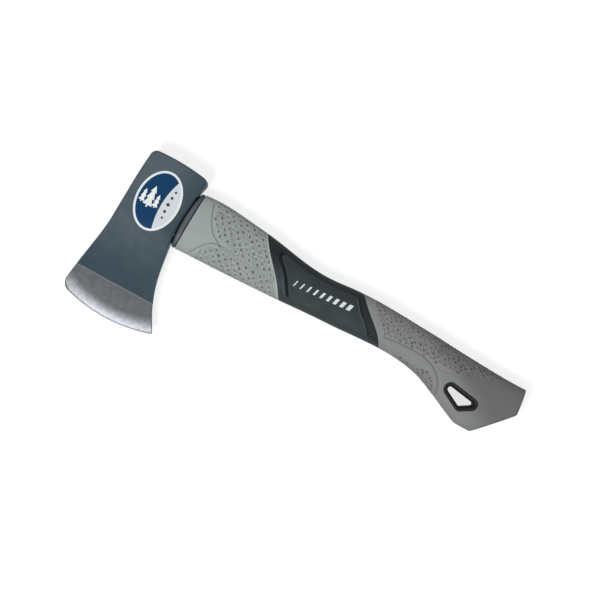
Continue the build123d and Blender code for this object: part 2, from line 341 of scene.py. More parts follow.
class Graph:
    """A short way to write the nodes of one material."""

    def __init__(self, name: str, world: bpy.types.World | None = None) -> None:
        """Start a material with one Principled shader, or the nodes of a world."""
        self.material = world or bpy.data.materials.new(name)
        self.material.use_nodes = True
        self.nodes = self.material.node_tree.nodes
        self.shader = self.nodes.get("Principled BSDF")
        self.place = self.node("ShaderNodeTexCoord").outputs["Object"]

    def node(self, kind: str, **settings: object) -> bpy.types.Node:
        """Add a node and set its options."""
        made = self.nodes.new(kind)
        for name, value in settings.items():
            setattr(made, name, value)
        return made

    def feed(self, socket: bpy.types.NodeSocket, value: object) -> None:
        """Link another socket to a socket, or set its plain value."""
        if isinstance(value, bpy.types.NodeSocket):
            self.material.node_tree.links.new(value, socket)
        else:
            socket.default_value = value

    def set(self, **values: object) -> None:
        """Set the shader's sockets, named with underscores for spaces."""
        for name, value in values.items():
            self.feed(self.shader.inputs[name.replace("_", " ")], value)

    def math(self, operation: str, *values: object) -> bpy.types.NodeSocket:
        """Work out one number from others."""
        made = self.node("ShaderNodeMath", operation=operation)
        for socket, value in zip(made.inputs, values):
            self.feed(socket, value)
        return made.outputs[0]

    def stretch(self, size: tuple[float, float, float]) -> bpy.types.NodeSocket:
        """Scale the place by one number along each axis."""
        made = self.node("ShaderNodeVectorMath", operation="MULTIPLY")
        self.feed(made.inputs[0], self.place)
        self.feed(made.inputs[1], size)
        return made.outputs[0]

    def noise(self, grain: float, detail: float = 3.0, place: object = None) -> bpy.types.NodeSocket:
        """Make soft noise.

        Args:
            grain: Size of its grains in millimetres, where the place isn't stretched.
            detail: How many finer layers it has.
            place: The place to read it at, or None for the piece's own.

        Returns:
            A number about 0.5.
        """
        made = self.node("ShaderNodeTexNoise")
        self.feed(made.inputs["Vector"], self.place if place is None else place)
        self.feed(made.inputs["Scale"], 1 / (grain * MM))
        self.feed(made.inputs["Detail"], detail)
        return made.outputs["Fac"]

    def ramp(
        self, value: object, low: float, high: float, least: float = 0.0, most: float = 1.0
    ) -> bpy.types.NodeSocket:
        """Map a range of a value to another range, without going past it."""
        made = self.node("ShaderNodeMapRange", interpolation_type="SMOOTHSTEP")
        for socket, number in zip(made.inputs, (value, low, high, least, most)):
            self.feed(socket, number)
        return made.outputs[0]

    def mix(self, share: object, first: object, second: object) -> bpy.types.NodeSocket:
        """Blend two colours."""
        made = self.node("ShaderNodeMix", data_type="RGBA")
        self.feed(made.inputs["Factor"], share)
        self.feed(made.inputs["A"], first)
        self.feed(made.inputs["B"], second)
        return made.outputs["Result"]

    def distance(self, a: object, b: object) -> bpy.types.NodeSocket:
        """Find the length of a step of a along one axis and b along the other."""
        squares = self.math("MULTIPLY", a, a), self.math("MULTIPLY", b, b)
        return self.math("SQRT", self.math("ADD", *squares))

    def mark(self, name: str) -> bpy.types.NodeSocket:
        """Read numbers that the mesh holds at its points."""
        return self.node("ShaderNodeAttribute", attribute_name=name).outputs["Fac"]

    def bump(self, height: object, depth: float) -> None:
        """Press a pattern into the surface, to a depth in millimetres."""
        made = self.node("ShaderNodeBump")
        self.feed(made.inputs["Height"], height)
        self.feed(made.inputs["Distance"], depth * MM)
        self.feed(self.shader.inputs["Normal"], made.outputs["Normal"])


def shade(colour: tuple[float, float, float], factor: float = 1.0) -> tuple[float, float, float, float]:
    """Turn a screen colour of 0 to 255 into the linear one that a shader takes.

    Args:
        colour: Red, green and blue.
        factor: Makes the colour lighter or darker.

    Returns:
        Red, green, blue and a full alpha.
    """
    parts = [c / 255 for c in colour]
    line = [p / 12.92 if p <= 0.04045 else ((p + 0.055) / 1.055) ** 2.4 for p in parts]
    return (*(p * factor for p in line), 1.0)


@dataclass(frozen=True)
class Paint:
    """Satin paint over forged steel."""

    colour: tuple[float, float, float] = (76, 88, 95)
    dark: tuple[float, float, float] = (38, 59, 70)
    roughness: float = 0.5
    bit_y: float = -70.0  # millimetres about the eye, where the painted shade is darkest
    poll_y: float = 15.0  # where the painted light is lightest
    toe_x: float = -16.0  # from here painted shade darkens it towards the handle
    collar_x: float = 20.0

    def material(self) -> bpy.types.Material:
        """Build the material."""
        graph = Graph("head_paint")
        cloud = graph.noise(28.0, 2.0)
        fleck = graph.noise(0.7, 2.0)
        split = graph.node("ShaderNodeSeparateXYZ")
        graph.feed(split.inputs[0], graph.place)
        low, high = (float(EYE.place(np.array([0, y, 0]))[1]) for y in (self.bit_y, self.poll_y))
        height = graph.ramp(split.outputs[1], low, high)
        left, right = (float(EYE.place(np.array([x, 0, 0]))[0]) for x in (self.toe_x, self.collar_x))
        # Painted light and shade: lighter towards the poll, darker towards the bit, and darker again towards
        # the handle side.
        tone = graph.mix(height, shade(self.dark), shade(self.colour))
        tone = graph.mix(graph.ramp(split.outputs[0], left, right, 0, 0.75), tone, shade(self.dark, 0.9))
        tone = graph.mix(graph.ramp(cloud, 0.3, 0.7, 0, 0.2), tone, shade(self.dark, 0.7))
        tone = graph.mix(graph.ramp(fleck, 0.62, 0.8, 0, 0.15), tone, shade(self.colour, 1.5))
        rim = graph.mark("rim")
        wear = graph.ramp(graph.noise(3.0), 0.35, 0.65, 0.05, 0.35)
        rubbed = graph.math("MULTIPLY", rim, wear)
        graph.set(Base_Color=graph.mix(rubbed, tone, shade(self.colour, 2.0)))
        sheen = graph.noise(9.0)
        graph.set(Roughness=graph.ramp(sheen, 0.3, 0.7, self.roughness - 0.03, self.roughness + 0.04))
        graph.set(Specular_IOR_Level=0.2)
        peel = graph.noise(1.6, 2.0)
        waves = graph.math("MULTIPLY", graph.noise(12.0, 2.0), 2.0)
        graph.bump(graph.math("ADD", peel, waves), 0.03)
        return graph.material


@dataclass(frozen=True)
class GroundSteel:
    """Bare steel with marks of the grinding belt, stains from the forging, a painted glint just below the
    grind line, and its cutting edge painted darker.
    """

    colour: tuple[float, float, float] = (80, 82, 85)
    roughness: float = 0.26

    def material(self) -> bpy.types.Material:
        """Build the material."""
        graph = Graph("ground_steel")
        marks = graph.noise(1.0, 3.0, graph.stretch((6.0, 0.3, 1.0)))
        stain = graph.noise(4.0, 5.0)
        tone = graph.mix(graph.ramp(stain, 0.35, 0.65), shade(self.colour, 0.9), shade(self.colour, 1.06))
        tone = graph.mix(graph.ramp(marks, 0.35, 0.65, 0, 0.1), tone, shade(self.colour, 0.8))
        # Painted glint: a paler line just below the grind line.
        tone = graph.mix(graph.mark("painted_glint"), tone, shade(self.colour, 1.6))
        # The last millimetre or so at the cutting edge is painted darker.
        graph.set(Base_Color=graph.mix(graph.mark("edge_dark"), tone, shade(self.colour, 0.15)), Metallic=1.0)
        graph.set(Roughness=graph.ramp(marks, 0.3, 0.7, self.roughness - 0.01, self.roughness + 0.015))
        graph.bump(marks, 0.0001)
        return graph.material


@dataclass(frozen=True)
class Rubber:
    """Moulded soft rubber with a fine spark-eroded grain."""

    name: str
    colour: tuple[float, float, float]
    roughness: float = 0.72
    patch: float = 1.0  # how much lighter the marked paler places and painted highlights are
    worn: float = 1.0  # how much painted shade darkens the far end
    shade_from: float = 0.5  # where the painted shade starts, as a share of the way to the far end
    shade_to: float = 0.9  # where it is full

    def material(self) -> bpy.types.Material:
        """Build the material."""
        graph = Graph(self.name)
        cloud = graph.noise(16.0, 4.0)
        grain = graph.noise(0.35, 2.0)
        peel = graph.noise(0.9, 2.0)
        pit, field = graph.mark("pit"), graph.mark("field")
        # Paler places and painted highlights: the pad and the ground round it, the crests, the dimple rims
        # and the edge at a seam.
        base = graph.mix(graph.mark("patch"), shade(self.colour), shade(self.colour, self.patch))
        # Painted shade: darker towards the far end.
        if self.worn < 1:
            far = graph.ramp(graph.mark("worn"), self.shade_from, self.shade_to)
            base = graph.mix(far, base, shade(self.colour, self.worn))
        tone = graph.mix(graph.ramp(cloud, 0.3, 0.7, 0, 0.14), base, shade(self.colour, 0.7))
        tone = graph.mix(graph.ramp(grain, 0.55, 0.75, 0, 0.12), tone, shade(self.colour, 0.6))
        spots = graph.math("MULTIPLY", field, graph.ramp(peel, 0.56, 0.32, 0.2, 0.75))
        tone = graph.mix(spots, tone, shade(self.colour, 0.5))
        flecks = graph.math("MULTIPLY", field, graph.ramp(peel, 0.54, 0.7, 0, 0.6))
        tone = graph.mix(flecks, tone, shade(self.colour, 1.35))
        # Painted shade in the pits and grooves, in the moat and on the butt's rim.
        graph.set(Base_Color=graph.mix(graph.math("MULTIPLY", pit, 0.95), tone, shade(self.colour, 0.22)))
        graph.set(Roughness=graph.ramp(cloud, 0.3, 0.7, self.roughness - 0.05, self.roughness + 0.07))
        graph.set(Specular_IOR_Level=0.2)
        rough = graph.math("MULTIPLY", peel, graph.math("MULTIPLY", field, 3.0))
        graph.bump(graph.math("ADD", grain, rough), 0.04)
        return graph.material


@dataclass(frozen=True)
class Plastic:
    """Hard moulded plastic, with painted shade where a groove or recess is marked."""

    name: str
    colour: tuple[float, float, float]
    roughness: float = 0.5
    gloss: float = 0.3

    def material(self) -> bpy.types.Material:
        """Build the material."""
        graph = Graph(self.name)
        grain = graph.noise(0.5, 2.0)
        cloud = graph.noise(10.0)
        tone = graph.mix(cloud, shade(self.colour, 0.9), shade(self.colour, 1.1))
        # Painted shade where the pit mark is set.
        graph.set(Base_Color=graph.mix(graph.mark("pit"), tone, shade(self.colour, 0.08)))
        graph.set(Roughness=graph.ramp(cloud, 0.3, 0.7, self.roughness - 0.06, self.roughness + 0.06))
        graph.set(Specular_IOR_Level=self.gloss)
        graph.bump(grain, 0.02)
        return graph.material


class Tone(Enum):
    """The sleeves' colours."""

    LIGHT = (152, 159, 157)
    MIDDLE = (131, 133, 132)
    CHARCOAL = (22, 27, 29)
    BLACK = (18, 19, 20)


# ---------------------------------------------------------------- handle


@dataclass(frozen=True)
class Station:
    """One cross-section of the handle: where it is, its two edges and its thickness."""

    x: float
    low: float
    high: float
    thickness: float


STATIONS = (
    Station(11.7, -29.2, 19.6, 22.2),
    Station(26.0, -28.6, 20.9, 22.6),
    Station(40.0, -28.2, 21.2, 22.7),
    Station(60.0, -27.7, 19.4, 22.7),
    Station(89.8, -26.6, 15.7, 22.6),
    Station(116.6, -25.4, 11.0, 22.2),
    Station(142.0, -23.9, 9.5, 21.8),
    Station(160.1, -23.2, 11.0, 22.1),
    Station(176.1, -22.2, 11.7, 22.4),
    Station(208.9, -21.3, 10.8, 22.6),
    Station(228.0, -23.3, 9.8, 22.5),
    Station(237.0, -25.5, 9.3, 22.5),
    Station(245.9, -28.8, 8.6, 22.4),
    Station(270.9, -40.3, 7.0, 22.5),
    Station(296.9, -52.0, 5.7, 22.6),
    Station(334.9, -69.0, 5.8, 22.6),
)


@dataclass
class HandleShape:
    """The outside of the handle, before it is cut into sleeves."""

    stations: tuple[Station, ...] = STATIONS
    squareness: float = 2.5  # 2 would be an ellipse
    butt_low: float = -45.0
    knob_round: float = 1.5

    def __post_init__(self) -> None:
        """Draw the smooth curves through the stations."""
        self.low = smooth_curve([(s.x, s.low) for s in self.stations])
        self.high = smooth_curve([(s.x, s.high) for s in self.stations])
        self.thickness = smooth_curve([(s.x, s.thickness) for s in self.stations])

    def section(self, x: Array) -> tuple[Array, Array, Array]:
        """Read the section at each X: its middle, half width and half thickness."""
        low = -soft_min(-self.low(x), np.full(np.shape(x), -self.butt_low), self.knob_round)
        high = self.high(x)
        return (low + high) / 2, (high - low) / 2, self.thickness(x) / 2

    def ring(self, count: int) -> tuple[Array, Array]:
        """Set points round a section that is 1 wide and 1 thick, evenly along the skin.

        Args:
            count: How many points, a multiple of 4.

        Returns:
            Their places across the handle and through it, from the upper edge round.
        """
        turn = np.linspace(0, math.pi / 2, 2001)
        power = 2 / self.squareness
        across, through = np.cos(turn) ** power, np.sin(turn) ** power
        along = np.concatenate([[0], np.cumsum(np.hypot(np.diff(across) * 1.9, np.diff(through)))])
        at = np.linspace(0, along[-1], count // 4 + 1)
        a, b = np.interp(at, along, across), np.interp(at, along, through)
        across = np.concatenate([a[:-1], -a[:0:-1], -a[:-1], a[:0:-1]])
        through = np.concatenate([b[:-1], b[:0:-1], -b[:-1], -b[:0:-1]])
        return across, through

    def height(self, x: Array, y: Array) -> Array:
        """Find the height of the upper skin over a place in plan."""
        middle, width, thick = self.section(x)
        share = np.clip(np.abs(y - middle) / width, 0, 1)
        return thick * (1 - share**self.squareness) ** (1 / self.squareness)


SHAPE = HandleShape()


@dataclass(frozen=True)
class Groove:
    """A moulded line in the skin, with a low ridge beside it."""

    points: Plan
    depth: float = 0.5
    width: float = 0.5
    ridge: float = 0.28
    ridge_away: float = 1.1
    painted_shade: float = 0.6  # how dark the groove's painted shade is

    def marks(self, x: Array, y: Array) -> dict[str, Array]:
        """Mark painted shade in the groove for the finish."""
        away, _, _ = nearest(x, y, self.line())
        return {"pit": self.painted_shade * np.exp(-((away / (0.8 * self.width)) ** 2))}

    def line(self) -> Array:
        """Draw the line smoothly through its points."""
        line = np.array(self.points, float)
        if len(line) > 2:
            along = np.arange(len(line))
            bend_x, bend_y = (smooth_curve(list(zip(along, part))) for part in line.T)
            fine = np.linspace(0, len(line) - 1, 12 * len(line))
            line = np.stack([bend_x(fine), bend_y(fine)], 1)
        return line

    def relief(self, x: Array, y: Array) -> Array:
        """Find how far the line lifts the skin at each place."""
        line = self.line()
        away, near_x, near_y = nearest(x, y, line)
        way = line[-1] - line[0]
        side = (x - near_x) * way[1] - (y - near_y) * way[0] > 0
        lifted = self.ridge * np.exp(-(((away - self.ridge_away) / self.width) ** 2))
        return np.where(side, lifted, 0) - self.depth * np.exp(-((away / self.width) ** 2))


@dataclass(frozen=True)
class Dimples:
    """Rows of small pits, on a grid turned across the handle, inside some regions."""

    regions: tuple[Plan, ...]
    rough: tuple[Plan, ...] = ()  # more ground with the fine ripples alone
    pitch: float = 4.75
    stray: float = 0.42  # how far a pit may lie off its place
    turn: float = -49.0  # degrees
    length: float = 1.55
    width: float = 1.12
    depth: float = 1.0
    uneven: float = 0.45  # how much shallower the shallowest pit is
    paler: float = 0.6  # how much less painted shade the shallowest pit gets
    rim: float = 0.27  # height of the rim round a pit, where the pit's depth is 1
    rim_away: float = 1.3  # the rim's distance from the middle, where 1 is the pit's edge
    ripple: float = 0.085  # height of the fine ripples between the pits

    def relief(self, x: Array, y: Array) -> Array:
        """Find how far the pits lower the skin at each place."""
        away, chance, held = self.cells(x, y)
        rim = self.rim * np.exp(-(((away - self.rim_away) / 0.35) ** 2))
        pits = np.where(held, self.depth * (1 - self.uneven * chance) * (rim - self.pit(away)), 0)
        ripple = np.sin(3.9 * x + 1.9 * np.sin(2.3 * y)) * np.sin(4.4 * y + 1.7 * np.sin(2.9 * x))
        return pits + self.ripple * ripple * self.field(x, y) * (1 - self.pit(away))

    def field(self, x: Array, y: Array) -> Array:
        """Find how far each place is inside the regions, from 0 to 1."""
        best = np.zeros(x.shape)
        for region in (*self.regions, *self.rough):
            loop = np.array(region, float)
            away, _, _ = nearest(x, y, np.vstack([loop, loop[:1]]))
            best = np.maximum(best, soft_step(np.where(inside(x, y, loop), away, -away), -0.6, 1.2))
        return best

    def pit(self, away: Array) -> Array:
        """Find a pit's depth, from 0 to 1, at a distance from its middle."""
        return np.clip(1 - away**2, 0, 1) ** 1.5

    def marks(self, x: Array, y: Array) -> dict[str, Array]:
        """Mark painted shade in the pits, painted highlights on their rims, and the fields that they lie in,
        for the finish.
        """
        away, chance, held = self.cells(x, y)
        # Painted shade in each pit, and a painted highlight round its rim.
        recess_shade = self.pit(away) * (1 - self.paler * chance)
        rim = (0.4 + 0.6 * chance) * np.exp(-(((away - self.rim_away) / 0.3) ** 2))
        return {"pit": np.where(held, recess_shade, 0), "field": self.field(x, y), "patch": np.where(held, rim, 0)}

    def cells(self, x: Array, y: Array) -> tuple[Array, Array, Array]:
        """Find the nearest pit to each place.

        Args:
            x: X of the places.
            y: Y of the places, measured along the skin.

        Returns:
            The distance from its middle in its own size, a chance number of its own, and
            whether the pit is there.
        """
        c, s = math.cos(math.radians(self.turn)), math.sin(math.radians(self.turn))
        along, across = (x * c + y * s) / self.pitch, (y * c - x * s) / self.pitch
        i, j = np.round(along), np.round(across)
        centre_x, centre_y = (i * c - j * s) * self.pitch, (i * s + j * c) * self.pitch
        chance = np.modf(np.abs(np.sin(i * 12.99 + j * 78.23) * 43758.5))[0]
        off = self.stray * np.cos(20 * chance), self.stray * np.sin(31 * chance)
        long_way, short_way = (along - i) * self.pitch - off[0], (across - j) * self.pitch - off[1]
        away = np.hypot(long_way / self.length, short_way / self.width)
        held = np.zeros(x.shape, bool)
        for region in self.regions:
            held |= inside(centre_x, centre_y, np.array(region, float))
        return away, chance, held


@dataclass(frozen=True)
class Pad:
    """A raised pad with a moat round it."""

    core: Plan  # the outline, drawn in by the radius of its corners
    round_corner: float = 2.5
    moat: float = 2.3
    depth: float = 1.1
    crown: float = 0.28
    moat_end: float = -20.5  # Y where the moat runs out
    rear_end: float = -17.0  # Y where the dark ground behind the pad runs out
    shade: float = 0.42  # how pale the pad is, where 1 is its palest crest, a painted highlight
    ridge_in: float = 0.55  # middle of the ridge along the rear edge, in from that edge
    ridge_width: float = 0.65
    above: float = 0.2  # strength of the moat's painted shade, and of the painted light on the ground, above the pad
    ground: tuple[float, float] = (-14.0, 5.0)  # Y where the painted light on the ground in front starts and ends to fade
    shadow: float = 0.25  # how much darker the pad gets upwards, and again rearwards
    shadow_up: tuple[float, float] = (-6.0, 4.0)  # Y
    shadow_back: tuple[float, float] = (125.0, 178.0)  # X
    shadow_foot: tuple[float, float] = (-20.0, -10.0)  # Y where the rearward one comes in

    def relief(self, x: Array, y: Array) -> Array:
        """Find how far the moat lowers the skin, and the crests on both sides lift it."""
        out = self.out(x, y)
        front, rear, above = self.sides(x, y)
        crests = front * np.exp(-(((out - self.moat - 1.3) / 1.1) ** 2)) + rear * self.ridge(out)
        dip = self.dip(out) * (front + 0.5 * rear + self.above * above)
        return self.crown * (1 + np.maximum(front, rear)) * crests - self.depth * dip

    def ridge(self, out: Array) -> Array:
        """Find the height of the ridge along the pad's rear edge, from 0 to 1."""
        return np.exp(-(((out + self.ridge_in) / self.ridge_width) ** 2))

    def dip(self, out: Array) -> Array:
        """Find the moat's depth, from 0 to 1, at a distance out from the pad."""
        return soft_step(out, 0, 0.5) * (1 - soft_step(out, self.moat - 1.1, self.moat))

    def marks(self, x: Array, y: Array) -> dict[str, Array]:
        """Mark painted shade in the moat, and the pad's paler tone with painted light, shade and highlights
        round it, for the finish.
        """
        out = self.out(x, y)
        front, rear, above = self.sides(x, y)
        low = 1 - soft_step(y, self.moat_end - 1, self.moat_end + 1)
        lower = 1 - soft_step(y, *self.ground)
        # Painted light on the ground in front of the moat, above the pad and low down.
        ground = front * lower * soft_step(out, self.moat - 0.8, self.moat + 0.4) + self.above * above
        ground = np.maximum(ground, np.maximum(low, 1 - soft_step(y, self.rear_end - 4, self.rear_end + 1)))
        # Painted shade on the pad, upwards and rearwards.
        dark = self.shadow * soft_step(y, *self.shadow_up)
        dark = dark + self.shadow * soft_step(x, *self.shadow_back) * soft_step(y, *self.shadow_foot)
        pale = self.shade * (1 - dark) * np.maximum(1 - soft_step(out, -0.4, 0.2), ground)
        # Painted highlights on the crest in front of the moat and on the ridge along the rear edge.
        pale += 0.5 * lower * front * np.exp(-(((out - self.moat - 1.0) / 0.9) ** 2))
        pale += (1 - self.shade) * rear * self.ridge(out)
        # Painted shade in the moat, and along a line inside the rear edge.
        pit = self.dip(out) * (0.85 * front + 0.6 * rear + self.above * above)
        pit += 0.25 * rear * np.exp(-(((out + 2.5) / 0.9) ** 2))
        return {"pit": pit, "patch": np.minimum(pale, 1)}

    def sides(self, x: Array, y: Array) -> tuple[Array, Array, Array]:
        """Tell how far a place outside the pad is in front of it, behind it and above it."""
        _, near_x, near_y = nearest(x, y, np.array((*self.core, self.core[0])))
        slope = (near_x - x) / np.maximum(np.hypot(x - near_x, y - near_y), 1e-6)
        front, rear = soft_step(slope, 0.3, 0.75), soft_step(-slope, 0.3, 0.75)
        above = (1 - front - rear) * (y > near_y)
        front *= soft_step(y, self.moat_end - 1, self.moat_end + 1)
        return front, rear * soft_step(y, self.rear_end - 2, self.rear_end + 2), above

    def out(self, x: Array, y: Array) -> Array:
        """Find the distance out from the pad's edge, below 0 inside it."""
        loop = np.array((*self.core, self.core[0]))
        away, _, _ = nearest(x, y, loop)
        return np.where(inside(x, y, loop[:-1]), -away, away) - self.round_corner


Relief = Groove | Dimples | Pad


# Distances in from an end at which rows lie closer together
SEAM_STEPS = (0.0, 0.12, 0.3, 0.6, 1.0)
BUTT_STEPS = (*SEAM_STEPS, 1.6, 2.3, 3.0)


@dataclass
class Sleeve:
    """One of the three soft sleeves: a stretch of the handle between two seams."""

    name: str
    slot: str
    finish: Rubber
    start: Curve
    end: Curve
    reliefs: tuple[Relief, ...] = ()
    step: float = 0.36
    columns: int = 320
    seam_round: float = 0.55
    parting: float = 1.6  # half width of the plain band along the mould's parting line
    thickest: float = 11.45  # the most half thickness, so that the sleeve rests on the head's floor
    painted_glint: float = 0.0  # how strongly the edge at the far seam gets a painted highlight
    shade_above: float = 0.28  # how much sooner the painted shade starts at the upper edge, as a share of the length
    shade_below: float = 0.18  # how much later it starts at the lower edge
    hole: Array | None = None
    butt: bool = False
    butt_round: float = 2.6
    butt_shade: float = 0.35  # how dark the painted shade on the butt's rim is

    def grid(self) -> tuple[Array, Array, Array, Array]:
        """Lay rows between the seams and columns round the handle.

        Returns:
            X, Y and Z of the skin, and Y measured along the skin, each rows by columns.
        """
        across, through = SHAPE.ring(self.columns)
        middle_y = np.array([-5.0])
        length = float((self.end(middle_y) - self.start(middle_y))[0])
        share = end_steps(length, self.step, BUTT_STEPS if self.butt else SEAM_STEPS)[:, None]
        y = np.full((len(share), self.columns), middle_y[0])
        for _ in range(24):
            x = self.start(y) + (self.end(y) - self.start(y)) * share
            middle, width, thick = SHAPE.section(x)
            y = middle + width * across
        z = thick * through
        run = np.hypot(np.diff(y, axis=1), np.diff(z, axis=1))
        along = np.concatenate([np.zeros((len(share), 1)), np.cumsum(run, axis=1)], 1)
        quarter, half = self.columns // 4, self.columns // 2
        skin_y = y[:, quarter : quarter + 1] + along[:, quarter : quarter + 1] - along
        skin_y[:, half + 1 :] = skin_y[:, half - 1 : 0 : -1]
        return x, y, z, skin_y

    def lift(self, x: Array, y: Array, z: Array, skin_y: Array) -> Array:
        """Find how far the skin stands out, or in, at each place."""
        amount = sum((relief.relief(x, skin_y) for relief in self.reliefs), np.zeros(x.shape))
        amount = amount * soft_step(np.abs(z), self.parting * 0.4, self.parting)
        amount = amount - round_over(x - self.start(y), self.seam_round)
        if not self.butt:
            amount = amount - round_over(self.end(y) - x, self.seam_round)
        if self.hole is not None:
            away, _, _ = nearest(x, y, self.hole)
            outside = ~inside(x, y, self.hole[:-1])
            amount = amount - np.where(outside, round_over(away, 0.6), 0)
        return amount

    def marks(self, x: Array, y: Array, skin_y: Array) -> dict[str, Array]:
        """Mark painted shade, rough fields, painted highlights and paler places for the finish."""
        held = {name: np.zeros(x.shape) for name in ("pit", "field", "patch")}
        for relief in self.reliefs:
            for name, values in relief.marks(x, skin_y).items():
                held[name] = np.maximum(held[name], values)
        # Painted highlight along the edge at the far seam, where the rough field is left out.
        pale = np.exp(-(((self.end(y) - x - 0.7) / 0.6) ** 2))
        held["patch"] = np.maximum(held["patch"], self.painted_glint * pale)
        if self.butt:
            # Painted shade along the rim of the butt.
            painted_shade = self.butt_shade * np.exp(-(((self.end(y) - x) / 0.8) ** 2))
            held["pit"] = np.maximum(held["pit"], painted_shade)
        held["field"] = held["field"] * (1 - self.painted_glint * pale)
        middle, width, _ = SHAPE.section(x)
        share = (y - middle) / width
        # How far into the painted shade each place is: further along, sooner at the upper edge and later at
        # the lower edge.
        held["worn"] = (x - x.min()) / np.ptp(x) + self.shade_above * soft_step(share, 0, 0.7)
        held["worn"] -= self.shade_below * soft_step(-share, 0, 0.9)
        return held

    def skin(self) -> tuple[Array, Array, dict[str, Array]]:
        """Build the skin with its relief.

        Returns:
            The skin's points, rows by columns, where the hole has none, and the marks.
        """
        x, y, z, skin_y = self.grid()
        marks = self.marks(x, y, skin_y)
        gone = np.zeros(x.shape, bool)
        if self.hole is not None:
            gone = inside(x, y, self.hole[:-1])
        amount = self.lift(x, y, z, skin_y)
        if self.butt:
            edge_y = np.linspace(-60, 20, 321)
            away, _, _ = nearest(x, y, np.stack([self.end(edge_y), edge_y], 1))
            thick = np.abs(z)
            z = np.sign(z) * (thick - round_over(away, np.minimum(self.butt_round, thick)))
        if self.hole is not None:
            _, near_x, near_y = nearest(x, y, self.hole)
            x, y = np.where(gone, near_x, x), np.where(gone, near_y, y)
        points = np.stack([x, y, z], -1)
        along = np.gradient(points, axis=0)
        around = np.roll(points, -1, axis=1) - np.roll(points, 1, axis=1)
        out = np.cross(around, along)
        out /= np.maximum(np.linalg.norm(out, axis=-1, keepdims=True), 1e-9)
        top = out[len(out) // 2, self.columns // 4]
        points = points + out * np.sign(top[2]) * amount[..., None]
        points[..., 2] = np.clip(points[..., 2], -self.thickest, self.thickest)
        return points, gone, marks

    def build(self) -> bpy.types.Object:
        """Make the sleeve, closed at both seams."""
        points, gone, marks = self.skin()
        shell = Shell()
        numbers = shell.add(points, **marks)
        ring = np.concatenate([numbers, numbers[:, :1]], axis=1)
        flags = np.concatenate([gone, gone[:, :1]], axis=1)
        lost = flags[:-1, :-1] & flags[1:, :-1] & flags[1:, 1:] & flags[:-1, 1:]
        shell.quads(ring, ~lost)
        half = self.columns // 2
        for row in (numbers[0], numbers[-1]):
            under = np.concatenate([row[:1], row[: half - 1 : -1]])
            shell.quads(np.stack([row[: half + 1], under]))
        if self.hole is not None:
            self.wall_hole(shell, numbers, lost)
        piece = shell.piece(self.name, self.slot, self.name)
        dress(piece, self.finish.material())
        return piece

    def wall_hole(self, shell: Shell, numbers: Array, lost: Array) -> None:
        """Join the upper and lower rims of the hole with a wall.

        Args:
            shell: The mesh so far.
            numbers: Point numbers of the skin.
            lost: Which faces the hole takes away.
        """
        half = self.columns // 2
        under = np.concatenate([numbers[:, :1], numbers[:, : half - 1 : -1]], axis=1)
        upper = numbers[:, : half + 1]
        lost = lost[:, :half]
        for i, j in zip(*np.nonzero(lost[:-1] != lost[1:])):
            shell.quads(np.array([upper[i + 1, j : j + 2], under[i + 1, j : j + 2]]))
        for i, j in zip(*np.nonzero(lost[:, :-1] != lost[:, 1:])):
            shell.quads(np.array([upper[i : i + 2, j + 1], under[i : i + 2, j + 1]]))


@dataclass(frozen=True)
class Hollow:
    """The shallow hollow in the head's inner side, in the head's frame, which the collar follows."""

    low: float = -29.0
    high: float = 20.8
    depth: float = 2.35

    def at(self, y: Array) -> Array:
        """Find its depth against Y."""
        middle, half = (self.low + self.high) / 2, (self.high - self.low) / 2
        return self.depth * np.maximum(1 - ((y - middle) / half) ** 2, 0)


HOLLOW = Hollow()


@dataclass(frozen=True)
class LanyardHole:
    """The three-cornered hole in the butt, with its hard liner."""

    corners: tuple[tuple[float, float, float], ...] = (
        (266.0, -22.6, 2.3),
        (285.9, -25.2, 1.6),
        (278.3, -30.3, 1.2),
    )
    wall: float = 3.8
    points: int = 180
    # Profile of the rim: distance out from the hole, and height against the skin
    profile: tuple[tuple[float, float], ...] = (
        (3.8, -2.0),
        (3.8, -0.5),
        (3.6, -0.22),
        (3.1, -0.15),
        (2.0, -0.3),
        (1.2, -0.65),
        (0.6, -1.3),
        (0.15, -2.3),
        (0.0, -3.6),
    )

    def outline(self, grow: float) -> Array:
        """Draw the hole, grown all round."""
        return rounded_loop(self.corners, grow, self.points)

    def build(self) -> bpy.types.Object:
        """Make the liner as a closed ring."""
        shell = Shell()
        rows, recess_shade = [], []
        for grow, drop in self.profile:
            loop = self.outline(grow)
            z = SHAPE.height(loop[:, 0], loop[:, 1]) + drop
            rows.append(np.column_stack([loop, z]))
            # Painted shade on the inner part of the rim, down into the hole.
            recess_shade.append(np.full(len(loop), min(max((2.2 - grow) / 0.8, 0.0), 1.0)))
        upper, dark = np.array(rows), np.array(recess_shade)
        ring = np.concatenate([upper, upper[::-1] * (1, 1, -1), upper[:1]])
        shell.quads(shell.add(ring, pit=np.concatenate([dark, dark[::-1], dark[:1]])))
        piece = shell.piece("lanyard_liner", "black_plastic", "lanyard_liner")
        dress(piece, Plastic("liner_plastic", Tone.BLACK.value, 0.6, 0.2).material())
        return piece


